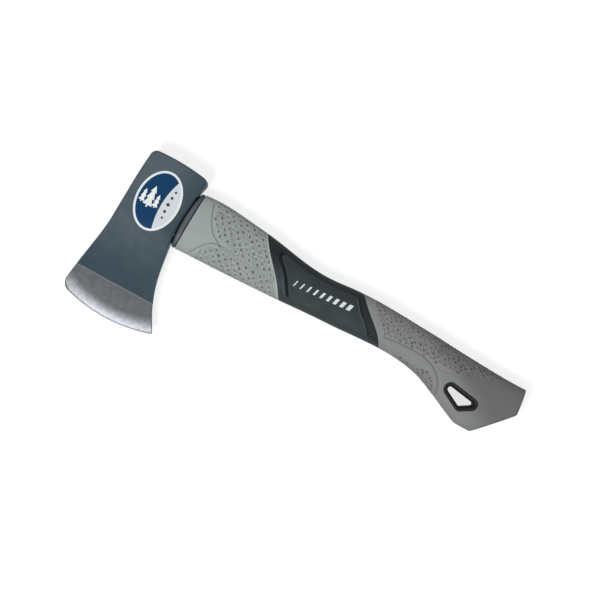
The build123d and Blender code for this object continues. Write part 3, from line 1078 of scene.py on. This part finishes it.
@dataclass(frozen=True)
class Collar:
    """The hard collar between the head and the front sleeve, square to the head."""

    start: float = 16.3  # from the middle of the eye, along the head's own axis
    length: float = 4.1
    hang: float = 2.5  # degrees
    columns: int = 240
    rise: float = 0.7  # how much less the collar is set in at both edges of the handle
    # Profile: share of the length, and how far it lies below the handle's skin
    profile: tuple[tuple[float, float], ...] = (
        (0.0, 6.0),
        (0.0, 3.2),
        (0.05, 2.9),
        (0.17, 2.5),
        (0.22, 1.5),
        (0.3, 1.1),
        (0.55, 0.9),
        (0.8, 0.8),
        (0.84, 1.0),
        (0.86, 1.9),
        (0.94, 2.1),
        (1.0, 2.1),
        (1.0, 6.0),
    )

    def edge(self, share: float) -> Curve:
        """Return X against Y at a share of the collar's length, from the hollow to a plain cut."""
        c, s = math.cos(math.radians(self.hang)), math.sin(math.radians(self.hang))
        along = self.start + share * self.length
        return lambda y: (along - (1 - share) * HOLLOW.at(y * c + along * s) + y * s) / c

    def build(self) -> bpy.types.Object:
        """Make the collar as a closed ring."""
        across, through = SHAPE.ring(self.columns)
        rows, recess_shade = [], []
        for share, inset in (*self.profile, self.profile[0]):
            # Painted shade on the deeper parts of the profile.
            recess_shade.append(np.full(self.columns, min(max((inset - 1.2) / 1.0, 0.0), 1.0)))
            x = np.full(self.columns, self.start)
            for _ in range(4):
                middle, width, thick = SHAPE.section(x)
                y = middle + (width - max(inset - self.rise, 0.0)) * across
                x = self.edge(share)(y)
            rows.append(np.stack([x, y, (thick - inset) * through], -1))
        shell = Shell()
        numbers = shell.add(np.array(rows), pit=np.array(recess_shade))
        shell.quads(np.concatenate([numbers, numbers[:, :1]], axis=1))
        piece = shell.piece("shoulder_collar", "black_plastic", "shoulder_collar", sharp=35)
        dress(piece, Plastic("collar_plastic", (73, 81, 87), 0.4).material())
        return piece


@dataclass(frozen=True)
class GripBars:
    """A row of plain slanted bars printed on the centre sleeve's pad."""

    start: tuple[float, float] = (117.0, -7.4)
    end: tuple[float, float] = (166.0, -3.7)
    count: int = 9
    height: float = 5.0
    least: float = 0.9
    most: float = 3.3
    slant: float = 1.9
    lift: float = 0.05

    def build(self) -> None:
        """Make the bars, thin solids that follow the skin."""
        (ax, ay), (bx, by) = self.start, self.end
        length = math.hypot(bx - ax, by - ay)
        way = np.array([bx - ax, by - ay]) / length
        across = np.array([-way[1], way[0]])
        shell = Shell()
        for i in range(self.count):
            share = i / (self.count - 1)
            width = self.least + (self.most - self.least) * share
            along = np.linspace(0, width, 4)[:, None] + share * (length - self.most)
            up = np.linspace(-0.5, 0.5, 9)[None, :]
            reach = along + up * self.slant
            plan = np.array(self.start) + reach[..., None] * way + (up * self.height)[..., None] * across
            z = SHAPE.height(plan[..., 0], plan[..., 1]) + self.lift
            shell.block(np.concatenate([plan, z[..., None]], -1), 0.3)
        piece = shell.piece("grip_bars", "label_print")
        dress(piece, Plastic("grip_ink", (212, 216, 218), 0.5).material())


@dataclass
class Handle:
    """The sleeves, the collar and the liner."""

    reach: float = 322.1
    butt_top_back: float = 2.0  # the butt's top corner, back from its tip
    butt_top: float = 6.0
    butt_tip: float = -15.8
    butt_heel_back: float = 26.6
    butt_heel: float = -45.0
    tip_round: float = 1.6
    front_seam: Plan = ((-34.0, 116.0), (-13.1, 103.4), (5.4, 87.4), (24.4, 75.0))  # Y, X
    rear_seam: Plan = ((-32.0, 204.7), (-10.5, 192.0), (0.8, 179.5), (24.0, 160.7))  # Y, X
    pad_low: float = -34.0
    pad_front: float = 12.4  # behind the front seam
    pad_front_bend: float = 2.9  # how much further behind at the middle of its height
    pad_rear: float = 11.6  # in front of the rear seam
    pad_rear_lean: float = 0.09
    pad_rear_bend: float = 2.0
    pad_top: float = 7.1  # below the handle's upper edge

    def butt_end(self, y: Array) -> Array:
        """Find X of the butt's cut end against Y."""
        upper = self.reach - self.butt_top_back * (y - self.butt_tip) / (self.butt_top - self.butt_tip)
        slope = self.butt_heel_back / (self.butt_heel - self.butt_tip)
        lower = self.reach - slope * (y - self.butt_tip)
        return soft_min(upper, lower, self.tip_round)

    def front(self, collar: Collar) -> Sleeve:
        """Describe the front sleeve."""
        upper = Groove(((30.3, 19.0), (33.0, 10.0), (38.0, 0.0), (44.0, -6.0), (51.0, -10.0)))
        lower = Groove(((51.0, -10.0), (43.0, -11.5), (36.0, -18.5), (31.0, -27.0)), ridge=0.1)
        above = (
            *((32.5, 24.0), (35.5, 10.0), (40.5, 0.5), (47.0, -5.0), (60.0, -8.0)),
            *((80.0, -9.0), (99.0, -11.0), (86.0, 4.5), (76.0, 20.0)),
        )
        below = (
            *((33.0, -33.0), (37.5, -19.5), (44.5, -12.8), (58.0, -11.8)),
            *((80.0, -13.0), (101.5, -15.0), (113.0, -33.0)),
        )
        stripe = ((50.5, -8.5), (99.0, -6.0), (105.0, -16.0), (48.0, -14.0))
        return Sleeve(
            "front_grip",
            "light_grey_rubber",
            # Painted highlights on the dimple rims and along the edge at the far seam.
            Rubber("front_grip_rubber", Tone.LIGHT.value, patch=1.35),
            collar.edge(1.0),
            smooth_curve(self.front_seam),
            (upper, lower, Dimples((above, below), (stripe,))),
            painted_glint=1.0,
        )

    def pad(self, front: Curve, rear: Curve) -> Pad:
        """Draw the pad between the two seams.

        Args:
            front: X of the front seam against Y.
            rear: X of the rear seam against Y.

        Returns:
            The pad.
        """
        left_y, right_y = np.linspace(7.0, self.pad_low, 12), np.linspace(self.pad_low, 4.1, 12)
        top_x = np.linspace(158.0, 105.0, 8)
        left_x = front(left_y) + self.pad_front + self.pad_front_bend * np.exp(-(((left_y + 1) / 10) ** 2))
        bend = self.pad_rear_bend * np.exp(-(((right_y + 6) / 5) ** 2))
        right_x = rear(right_y) - self.pad_rear + self.pad_rear_lean * right_y - bend
        left, right = np.stack([left_x, left_y], 1), np.stack([right_x, right_y], 1)
        top = np.stack([top_x, SHAPE.high(top_x) - self.pad_top], 1)
        return Pad(tuple(map(tuple, np.concatenate([left, right, top]))))

    def centre(self) -> Sleeve:
        """Describe the centre sleeve."""
        front, rear = smooth_curve(self.front_seam), smooth_curve(self.rear_seam)
        return Sleeve(
            "centre_grip",
            "charcoal_rubber",
            # The pad is paler, with painted light, shade and highlights round it.
            Rubber("centre_grip_rubber", Tone.CHARCOAL.value, 0.6, patch=7.0),
            front,
            rear,
            (self.pad(front, rear),),
            step=0.6,
            columns=280,
        )

    def rear(self, hole: LanyardHole) -> Sleeve:
        """Describe the rear sleeve."""
        bend = (
            *((199.3, -11.1), (208.8, -10.0), (224.7, -9.4), (239.9, -11.4)),
            *((250.8, -18.2), (256.3, -27.4), (256.8, -34.0)),
        )
        line = Groove(bend, depth=0.4, ridge=0.36, painted_shade=0.5)
        branch = Groove(((250.0, -13.0), (260.2, -11.5), (270.0, -10.6)), depth=0.18, ridge=0.16, painted_shade=0.22)
        above = (
            *((180.0, 18.0), (182.0, 6.0), (199.0, -9.5), (225.0, -7.6), (245.0, -9.3)),
            *((262.0, -9.5), (280.0, -4.0), (296.0, 2.0), (300.0, 14.0)),
        )
        below = (
            *((210.0, -26.0), (214.0, -19.5), (225.0, -20.0), (238.0, -18.5)),
            *((248.0, -20.5), (254.0, -28.0), (254.5, -40.0), (235.0, -40.0)),
        )
        return Sleeve(
            "rear_grip",
            "mid_grey_rubber",
            # Painted shade darkens it towards the butt, and painted highlights sit on the dimple rims.
            Rubber("rear_grip_rubber", Tone.MIDDLE.value, patch=1.35, worn=0.56),
            smooth_curve(self.rear_seam),
            self.butt_end,
            (line, branch, Dimples((above, below), pitch=3.8, stray=0.7, length=1.3, width=0.9, uneven=0.6)),
            step=0.42,
            columns=300,
            hole=hole.outline(hole.wall - 0.15),
            butt=True,
        )

    def build(self) -> None:
        """Make every piece of the handle."""
        collar, hole = Collar(), LanyardHole()
        collar.build()
        for sleeve in (self.front(collar), self.centre(), self.rear(hole)):
            sleeve.build()
        hole.build()
        GripBars().build()
        dress(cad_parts["handle_jacket"], Plastic("jacket_plastic", Tone.BLACK.value).material())


# ---------------------------------------------------------------- head


@dataclass(frozen=True)
class Bounds:
    """The two sides of a stretch of the head, as rows of X and Y in the head's own frame."""

    outer: Array
    inner: Array


@dataclass
class AxeHead:
    """The forged head, in its own frame: X and Y from the middle of the eye, hung at an angle."""

    hang: float = 2.5  # degrees
    poll: float = 32.27
    poll_crown: float = 1.15
    poll_taper: float = 1.3  # how far the outer side leans in, up to the poll
    outer_x: float = -35.0
    inner_x: float = 15.8
    flare: float = 2.3
    flare_drop: float = 12.0
    outer_corner: float = 5.3
    inner_corner: float = 7.0
    waist: float = -27.0
    throat_lean: float = 0.2
    back: Plan = ((-65.8, -39.1),)  # Y, X
    throat: Plan = ((-74.9, 28.05), (-63.1, 23.3))  # Y, X
    toe_x: float = -42.6
    heel_x: float = 40.3
    toe_lean: float = 0.06
    heel_lean: float = 0.7
    edge_radius: float = 128.0
    sweep_x: float = -5.0
    edge_y: float = -104.27
    toe_round: float = 9.0
    heel_round: float = 1.5
    half_thick: float = 11.5
    cheek_flat: float = -25.0
    cheek_lean: float = 0.45
    cheek_middle: tuple[float, float] = (-50.0, 4.9)  # Y, half thickness
    cheek_blend: float = 3.0
    grind_line: float = -76.0  # Y about the eye, square to the handle
    grind_half: float = 2.4
    grind_lean: float = 0.06
    grind_step: float = 0.2
    bit_half: float = 1.2
    edge_half: float = 0.25
    bevel: float = 11.0  # degrees
    bevel_blend: float = 1.0
    eye_y: float = -4.0
    eye_length: float = 42.0
    eye_half: float = 8.2
    wall_rows: int = 6
    # Distances in from a side at which points lie closer together
    side_steps: tuple[float, ...] = (0.0, 0.08, 0.2, 0.4, 0.65, 0.95, 1.3, 1.7, 2.2)

    def turned(self, points: Array) -> Array:
        """Turn points from the head's own frame into the tool's."""
        c, s = math.cos(math.radians(self.hang)), math.sin(math.radians(self.hang))
        x, y = points[..., 0], points[..., 1]
        return np.stack([x * c + y * s, y * c - x * s], -1)

    def sweep(self, x: Array) -> Array:
        """Find Y of the cutting edge against X."""
        centre = self.edge_y + self.edge_radius
        return centre - np.sqrt(self.edge_radius**2 - (x - self.sweep_x) ** 2)

    def side(self, inner: bool) -> Curve:
        """Draw X of one side against Y.

        Args:
            inner: True for the side against the handle.

        Returns:
            The side, with its corner at the poll rounded.
        """
        tip = self.heel_x if inner else self.toe_x
        straight = self.inner_x if inner else self.outer_x
        lean = -self.heel_lean if inner else self.toe_lean
        knots = self.throat if inner else self.back
        low = float(self.sweep(np.array(tip)))
        waist = HOLLOW.low if inner else self.waist
        end_lean = -self.throat_lean if inner else 0.0
        curve = smooth_curve(((low, tip), *knots, (waist, straight)), lean, end_lean)
        radius = self.inner_corner if inner else self.outer_corner
        flare, taper = (self.flare, 0.0) if inner else (0.0, self.poll_taper)
        sign = 1 if inner else -1

        def value(y: Array) -> Array:
            """Read the side at some Y."""
            out = flare * soft_step(y, self.poll - self.flare_drop, self.poll)
            out = out + taper * (np.maximum(y, 0) / self.poll) ** 2
            hollow = HOLLOW.at(y) if inner else 0.0
            base = np.where(y > waist, straight + out - hollow, curve(y))
            return base - sign * round_over(self.poll - y, radius)

        return value

    def cheek(self, y: Array) -> Array:
        """Find the half thickness of the painted part against Y about the eye."""
        knots = ((self.grind_line, self.grind_half), self.cheek_middle, (self.cheek_flat, self.half_thick))
        taper = smooth_curve(knots, self.grind_lean, self.cheek_lean)
        return soft_min(np.full(np.shape(y), self.half_thick), taper(y), self.cheek_blend)

    def bit(self, x: Array, y: Array) -> Array:
        """Find the half thickness of the ground part, with its rounded bevel."""
        share = (y - self.grind_line) / (self.edge_y - self.grind_line)
        face = self.grind_half - self.grind_step + (self.bit_half - self.grind_half) * share
        centre = self.turned(np.array([self.sweep_x, self.edge_y + self.edge_radius]))
        inward = self.edge_radius - np.hypot(x - centre[0], y - centre[1])
        slope = math.tan(math.radians(self.bevel))
        return soft_min(face, self.edge_half + np.maximum(inward, 0) * slope, self.bevel_blend)

    def grind_ends(self) -> tuple[float, float]:
        """Find Y, in the head's frame, of both ends of the grind line."""
        turn = math.radians(self.hang)
        ends = []
        for inner in (False, True):
            y = self.grind_line
            for _ in range(8):
                x = float(self.side(inner)(np.array(y)))
                y = (self.grind_line + x * math.sin(turn)) / math.cos(turn)
            ends.append(y)
        return ends[0], ends[1]

    def body_rows(self) -> Bounds:
        """Lay the painted part's rows, from the grind line to the poll."""
        half, end = self.eye_length / 2, self.eye_half
        bend = np.linspace(0, math.pi / 2, 9)
        low_end = self.eye_y - half + end * (1 - np.cos(bend))
        high_end = self.eye_y + half - end * (1 - np.cos(bend[::-1]))
        corner = self.poll - self.outer_corner * (1 - np.sin(np.linspace(0, math.pi / 2, 19)))
        above = np.concatenate(
            [
                low_end[:-1],
                np.linspace(low_end[-1], high_end[0], 24)[:-1],
                high_end[:-1],
                np.linspace(high_end[-1], corner[0], 8)[:-1],
                corner,
            ]
        )
        start = self.eye_y - half
        rows = []
        for inner, grind in zip((False, True), self.grind_ends()):
            below = np.linspace(grind, start, 46)[:-1]
            y = np.concatenate([below, above])
            rows.append(np.stack([self.side(inner)(y), y], 1))
        return Bounds(rows[0], rows[1])

    def eye(self, y: Array) -> Array:
        """Find the half height of the eye against Y in the head's frame."""
        end = np.abs(y - self.eye_y) - (self.eye_length / 2 - self.eye_half)
        return np.sqrt(np.maximum(self.eye_half**2 - np.maximum(end, 0) ** 2, 0))

    def rounded_end(self, side: Array, edge: Array, radius: float) -> tuple[Array, Array]:
        """Round the corner between a side and the cutting edge.

        Args:
            side: Points down the side, the last one at the corner.
            edge: Points along the edge, the first one at the corner.
            radius: Radius of the corner.

        Returns:
            The side and the edge, each up to the middle of the corner's arc.
        """
        corner = side[-1]
        one, two = side[-8] - corner, edge[7] - corner
        one, two = one / np.linalg.norm(one), two / np.linalg.norm(two)
        half = math.acos(float(one @ two)) / 2
        back = radius / math.tan(half)
        kept_side = side[np.hypot(*(side - corner).T) > back]
        kept_edge = edge[np.hypot(*(edge - corner).T) > back]
        t = np.linspace(0, 1, 17)[:, None]
        weight = math.sin(half)
        first, last = corner + one * back, corner + two * back
        parts = (1 - t) ** 2, 2 * weight * t * (1 - t), t**2
        arc = (parts[0] * first + parts[1] * corner + parts[2] * last) / sum(parts)
        return np.vstack([kept_side, arc[:9]]), np.vstack([arc[8:], kept_edge])

    def bit_loop(self) -> tuple[Array, Array, Array, Array]:
        """Draw the ground part's four sides, in the tool's frame.

        Returns:
            The outer side and the inner side down to the edge, the grind line and the edge.
        """
        outer_y, inner_y = self.grind_ends()
        sides = []
        for inner, y, tip in ((False, outer_y, self.toe_x), (True, inner_y, self.heel_x)):
            down = np.linspace(y, float(self.sweep(np.array(tip))), 400)
            sides.append(np.stack([self.side(inner)(down), down], 1))
        across = np.linspace(self.toe_x, self.heel_x, 1200)
        edge = np.stack([across, self.sweep(across)], 1)
        outer, edge = self.rounded_end(sides[0], edge, self.toe_round)
        inner, flipped = self.rounded_end(sides[1], edge[::-1], self.heel_round)
        line = np.stack([outer[0], inner[0]])
        return tuple(self.turned(part) for part in (outer, inner, line, flipped[::-1]))

    def wall(self, shell: Shell, rim: Array, opening: Array) -> Array:
        """Join the upper and lower rims of a side with a wall.

        Args:
            shell: The mesh so far.
            rim: Points of the upper rim.
            opening: Half height of a gap in the wall at each of them.

        Returns:
            Point numbers of the gap's upper and lower edges.
        """
        share = np.linspace(0, 1, self.wall_rows)[:, None]
        level = rim[:, 2] + (opening - rim[:, 2]) * share
        upper = np.stack([*(np.broadcast_to(rim[:, i], level.shape) for i in (0, 1)), level], -1)
        top, under = shell.add(upper), shell.add(upper * (1, 1, -1))
        shell.quads(top)
        shell.quads(under)
        return np.stack([top[-1], under[-1]])

    def columns(self) -> Array:
        """Share out columns across the head, finer at both sides."""
        return end_steps(52.0, 1.0, self.side_steps)

    def body_plan(self) -> Array:
        """Lay the painted part's points in plan, in the tool's frame, with the poll crowned."""
        rows = self.body_rows()
        share = self.columns()[:, None]
        plan = rows.outer[:, None] * (1 - share) + rows.inner[:, None] * share
        rise = soft_step(rows.outer[:, 1:], 0, self.poll) * 4 * (share * (1 - share)).T
        plan[..., 1] += self.poll_crown * rise
        return self.turned(plan)

    def outline(self, plan: Array) -> Array:
        """Draw the sides and the poll of the whole head as one line, in the tool's frame."""
        outer, inner, _, _ = self.bit_loop()
        return np.vstack([outer[::-4], plan[:, 0], plan[-1], plan[::-1, -1], inner[::4]])

    def surface(self, plan: Array, thick: Array, rim: Array) -> tuple[Array, Array]:
        """Round a face over at its sides.

        Args:
            plan: X and Y of the face's points.
            thick: Half thickness before rounding.
            rim: The line whose edge is rounded.

        Returns:
            The points with their height, and their distance in from the rim.
        """
        away, _, _ = nearest(plan[..., 0], plan[..., 1], rim)
        radius = np.minimum(0.25 + 0.14 * thick, 0.9 * thick)
        points = np.concatenate([plan, (thick - round_over(away, radius))[..., None]], -1)
        return points, away

    def build_body(self, plan: Array, rim: Array) -> bpy.types.Object:
        """Make the painted part, with its eye."""
        face, away = self.surface(plan, self.cheek(plan[..., 1]), rim)
        shell = Shell()
        for z in (1, -1):
            shell.quads(shell.add(face * (1, 1, z), rim=np.exp(-((away / 0.7) ** 2))))
        gap = self.eye(self.body_rows().outer[:, 1])
        outer = self.wall(shell, face[:, 0], gap)
        inner = self.wall(shell, face[:, -1], gap)
        for i in (0, 1):
            open_rows = (gap[:-1] > 0) | (gap[1:] > 0)
            shell.quads(np.stack([outer[i], inner[i]]), open_rows[None, :])
        for row in (face[0], face[-1]):
            self.wall(shell, row, np.zeros(len(row)))
        piece = shell.piece("axe_head_body", "head_paint", "axe_head", sharp=35)
        dress(piece, Paint().material())
        return piece

    def build_bit(self, rim: Array) -> bpy.types.Object:
        """Make the bare ground part, with its cutting edge."""
        outer, inner, line, edge = self.bit_loop()
        across = end_steps(75.0, 0.7, self.side_steps)
        down = end_steps(28.0, 0.45, (0.0, 0.05, 0.12, 0.25, 0.45, 0.7, 1.0))
        u, v = across[None, :, None], down[:, None, None]
        left, right = self.read(outer, down)[:, None], self.read(inner, down)[:, None]
        top, low = self.read(line, across)[None], self.read(edge, across)[None]
        upper_ends = (1 - u) * top[:, :1] + u * top[:, -1:]
        lower_ends = (1 - u) * low[:, :1] + u * low[:, -1:]
        corners = (1 - v) * upper_ends + v * lower_ends
        plan = (1 - u) * left + u * right + (1 - v) * top + v * low - corners
        face, _ = self.surface(plan, self.bit(plan[..., 0], plan[..., 1]), rim)
        drop, _, _ = nearest(plan[..., 0], plan[..., 1], edge[::8])
        below, _, _ = nearest(plan[..., 0], plan[..., 1], line)
        # Marks for the cutting edge painted darker, and for a painted glint just below the grind line.
        marks = {"edge_dark": np.exp(-((drop / 0.9) ** 2)), "painted_glint": 0.6 * np.exp(-(((below - 0.6) / 0.5) ** 2))}
        shell = Shell()
        for z in (1, -1):
            shell.quads(shell.add(face * (1, 1, z), **marks))
        for row in (face[0], face[-1], face[:, 0], face[:, -1]):
            self.wall(shell, row, np.zeros(len(row)))
        piece = shell.piece("axe_head_bit", "ground_steel", sharp=30)
        dress(piece, GroundSteel().material())
        return piece

    def read(self, line: Array, share: Array) -> Array:
        """Read points at shares of a line's length."""
        even = spread(line, 2000)
        at = share * (len(even) - 1)
        index = np.arange(len(even))
        return np.stack([np.interp(at, index, even[:, i]) for i in (0, 1)], 1)

    def build(self) -> None:
        """Make both parts of the head, and dress what fills its eye."""
        plan = self.body_plan()
        rim = self.outline(plan)
        self.build_body(plan, rim)
        self.build_bit(rim)
        dress(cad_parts["eye_resin"], Plastic("bonding_resin", (44, 46, 48), 0.25).material())
        dress(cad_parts["fibreglass_core"], Plastic("core_fibreglass", (196, 186, 150), 0.5).material())


# ---------------------------------------------------------------- label


@dataclass(frozen=True)
class Label:
    """The oval label on the upper cheek: a white rim, a blue field and a white crescent."""

    x: float = -9.8
    y: float = -1.9
    width: float = 36.1
    height: float = 50.4
    thick: float = 0.2
    crescent: float = 68.4  # radius of the white crescent's inner side
    crescent_x: float = 72.0
    crescent_y: float = -4.3
    rim: float = 1.8
    rings: int = 40
    spokes: int = 160

    # X, Y of the foot, and height
    firs: tuple[tuple[float, float, float], ...] = (
        (-22.0, -8.5, 11.5),
        (-16.1, -10.5, 18.5),
        (-10.4, -8.5, 11.5),
    )
    # X, Y and half width
    diamonds: tuple[tuple[float, float, float], ...] = (
        (-0.2, 10.5, 1.2),
        (-0.9, 5.2, 1.5),
        (-1.3, -0.8, 1.8),
        (-1.2, -6.8, 1.5),
        (-0.8, -12.1, 1.2),
    )

    def material(self) -> bpy.types.Material:
        """Build the printed label."""
        graph = Graph("label_print")
        centre = EYE.place(np.array([self.x, self.y, 0.0]))
        split = graph.node("ShaderNodeSeparateXYZ")
        graph.feed(split.inputs[0], graph.place)
        x = graph.math("DIVIDE", graph.math("SUBTRACT", split.outputs[0], float(centre[0])), MM)
        y = graph.math("DIVIDE", graph.math("SUBTRACT", split.outputs[1], float(centre[1])), MM)
        oval = self.oval(graph, x, y)
        arc = self.outside_crescent(graph, x, y)
        white, pale, blue = shade((222, 227, 230)), shade((205, 210, 214)), shade((17, 57, 94))
        field = graph.mix(arc, pale, blue)
        graph.set(Base_Color=graph.mix(oval, white, field), Roughness=0.5, Specular_IOR_Level=0.06)
        return graph.material

    def oval(self, graph: Graph, x: object, y: object) -> bpy.types.NodeSocket:
        """Tell the inside of the oval, in from its rim, from the outside."""
        a = graph.math("DIVIDE", x, self.width / 2 - self.rim)
        b = graph.math("DIVIDE", y, self.height / 2 - self.rim)
        return graph.ramp(graph.distance(a, b), 1.01, 0.99)

    def outside_crescent(self, graph: Graph, x: object, y: object) -> bpy.types.NodeSocket:
        """Tell the outside of the crescent's inner circle from its inside."""
        a, b = graph.math("SUBTRACT", x, self.crescent_x), graph.math("SUBTRACT", y, self.crescent_y)
        return graph.ramp(graph.distance(a, b), self.crescent - 0.15, self.crescent + 0.15)

    def build(self, head: AxeHead) -> None:
        """Make the label, laid on the cheek."""
        turn = np.linspace(0, 2 * math.pi, self.spokes, endpoint=False)
        share = np.linspace(0, 1, self.rings)[:, None]
        x = self.x + self.width / 2 * share * np.cos(turn)
        y = self.y + self.height / 2 * share * np.sin(turn)
        base = head.cheek(y)
        top = np.stack([x, y, base + self.thick * 0.85], -1)
        rim = np.stack([x[-1:], y[-1:], base[-1:]], -1)
        shell = Shell()
        numbers = shell.add(np.concatenate([top, rim]))
        shell.quads(np.concatenate([numbers, numbers[:, :1]], axis=1))
        shell.faces.append(tuple(numbers[-1].tolist()))
        piece = shell.piece("cheek_label", "label_print", "cheek_label")
        dress(piece, self.material())
        self.build_firs(head)
        self.build_diamonds(head)

    def build_firs(self, head: AxeHead) -> None:
        """Print three plain fir trees in the blue field."""
        shell = Shell()
        for x, y, height in self.firs:
            level = np.array([0, 0, 0.08, 0.1, 0.1, 0.4, 0.4, 0.7, 0.7, 1.0]) * height
            half = np.array([0.035, 0.035, 0.035, 0.035, 0.22, 0.09, 0.18, 0.07, 0.14, 0.004]) * height
            rows = np.stack([x - half, x + half], 1), np.stack([y + level, y + level], 1)
            z = head.cheek(rows[1]) + self.thick * 0.95
            shell.block(np.stack([*rows, z], -1), self.thick * 0.15)
        piece = shell.piece("label_firs", "label_print")
        dress(piece, Plastic("white_ink", (226, 230, 232), 0.4).material())

    def build_diamonds(self, head: AxeHead) -> None:
        """Print a row of dark diamonds on the white crescent."""
        shell = Shell()
        for x, y, half in self.diamonds:
            corners = np.array([[[x, y + half], [x + half, y]], [[x - half, y], [x, y - half]]])
            z = head.cheek(corners[..., 1]) + self.thick * 0.95
            shell.block(np.concatenate([corners, z[..., None]], -1), self.thick * 0.15)
        piece = shell.piece("label_diamonds", "label_print")
        dress(piece, Plastic("dark_ink", (34, 38, 48), 0.4).material())


# ---------------------------------------------------------------- studio


@dataclass(frozen=True)
class SoftBox:
    """A large soft lamp."""

    name: str
    x: float
    y: float
    z: float
    size: float
    watts: float

    def build(self, aim: Array) -> None:
        """Hang the lamp and point it at the tool."""
        lamp = bpy.data.lights.new(self.name, "AREA")
        lamp.shape = "SQUARE"
        lamp.size = self.size
        lamp.energy = self.watts
        holder = bpy.data.objects.new(self.name, lamp)
        bpy.context.scene.collection.objects.link(holder)
        holder.location = (aim[0] + self.x, aim[1] + self.y, aim[2] + self.z)
        way = holder.location - type(holder.location)(aim)
        holder.rotation_euler = way.to_track_quat("Z", "Y").to_euler()


@dataclass(frozen=True)
class Studio:
    """The floor, the lamps, the world and the camera."""

    aim_x: float = 121.36  # millimetres about the eye
    aim_y: float = -15.64
    camera_height: float = 1.4
    view_width: float = 0.472
    camera_turn: float = 28.5  # degrees
    floor_reach: float = 9.0
    floor_gap: float = 0.0001
    world: float = 0.46
    lamps: tuple[SoftBox, ...] = (
        SoftBox("key", -0.23, -0.76, 1.3, 0.5, 13.6),
        SoftBox("fill", 0.2, 1.05, 0.9, 0.9, 3.0),
    )

    def build(self) -> None:
        """Set up the studio round the tool."""
        aim = EYE.place(np.array([self.aim_x, self.aim_y, 0.0]))
        scene = bpy.context.scene
        scene.view_settings.view_transform = "Standard"
        camera = bpy.data.cameras.new("camera")
        camera.lens = camera.sensor_width * self.camera_height / self.view_width
        camera.clip_end = 20
        holder = bpy.data.objects.new("camera", camera)
        scene.collection.objects.link(holder)
        holder.location = (aim[0], aim[1], aim[2] + self.camera_height)
        holder.rotation_euler = (0, 0, math.radians(self.camera_turn))
        scene.camera = holder
        for lamp in self.lamps:
            lamp.build(aim)
        self.light_world()
        self.lay_floor(float(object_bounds()[0][2]) - self.floor_gap)

    def seen(self, graph: Graph) -> bpy.types.NodeSocket:
        """Tell rays from the camera, and those that mirrors and glass send on, from the rest."""
        path = graph.node("ShaderNodeLightPath").outputs
        mirrored = graph.math("MAXIMUM", path["Is Glossy Ray"], path["Is Transmission Ray"])
        return graph.math("MAXIMUM", path["Is Camera Ray"], mirrored)

    def light_world(self) -> None:
        """Give the world a plain soft light, and white where it is seen."""
        world = bpy.data.worlds.new("studio")
        bpy.context.scene.world = world
        graph = Graph("studio", world)
        back = graph.nodes["Background"]
        back.inputs["Color"].default_value = (1, 1, 1, 1)
        graph.feed(back.inputs["Strength"], graph.ramp(self.seen(graph), 0, 1, self.world, 1.0))

    def lay_floor(self, level: float) -> None:
        """Lay a white floor that keeps the tool's shadow."""
        mesh = bpy.data.meshes.new("floor")
        reach = self.floor_reach
        plan = ((-reach, -reach), (reach, -reach), (reach, reach), (-reach, reach))
        mesh.from_pydata([(x, y, level) for x, y in plan], [], [(0, 1, 2, 3)])
        floor = bpy.data.objects.new("floor", mesh)
        bpy.context.scene.collection.objects.link(floor)
        floor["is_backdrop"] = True
        graph = Graph("floor")
        seen = self.seen(graph)
        pale, dim = (0.34, 0.34, 0.34, 1), (0.2, 0.2, 0.2, 1)
        graph.set(Base_Color=graph.mix(seen, dim, pale), Roughness=0.9, Specular_IOR_Level=0.0)
        far = graph.node("ShaderNodeVectorMath", operation="LENGTH")
        graph.feed(far.inputs[0], graph.place)
        glow = graph.ramp(far.outputs["Value"], 0.3, 2.5, 0.74, 1.0)
        graph.set(Emission_Color=(1, 1, 1, 1), Emission_Strength=graph.math("MULTIPLY", seen, glow))
        dress(floor, graph.material)


def main() -> None:
    """Build the hatchet and its studio."""
    logging.basicConfig(level=logging.INFO, format="%(name)s %(message)s")
    head = AxeHead()
    head.build()
    Label().build(head)
    Handle().build()
    Studio().build()


if __name__ == "__main__":
    main()
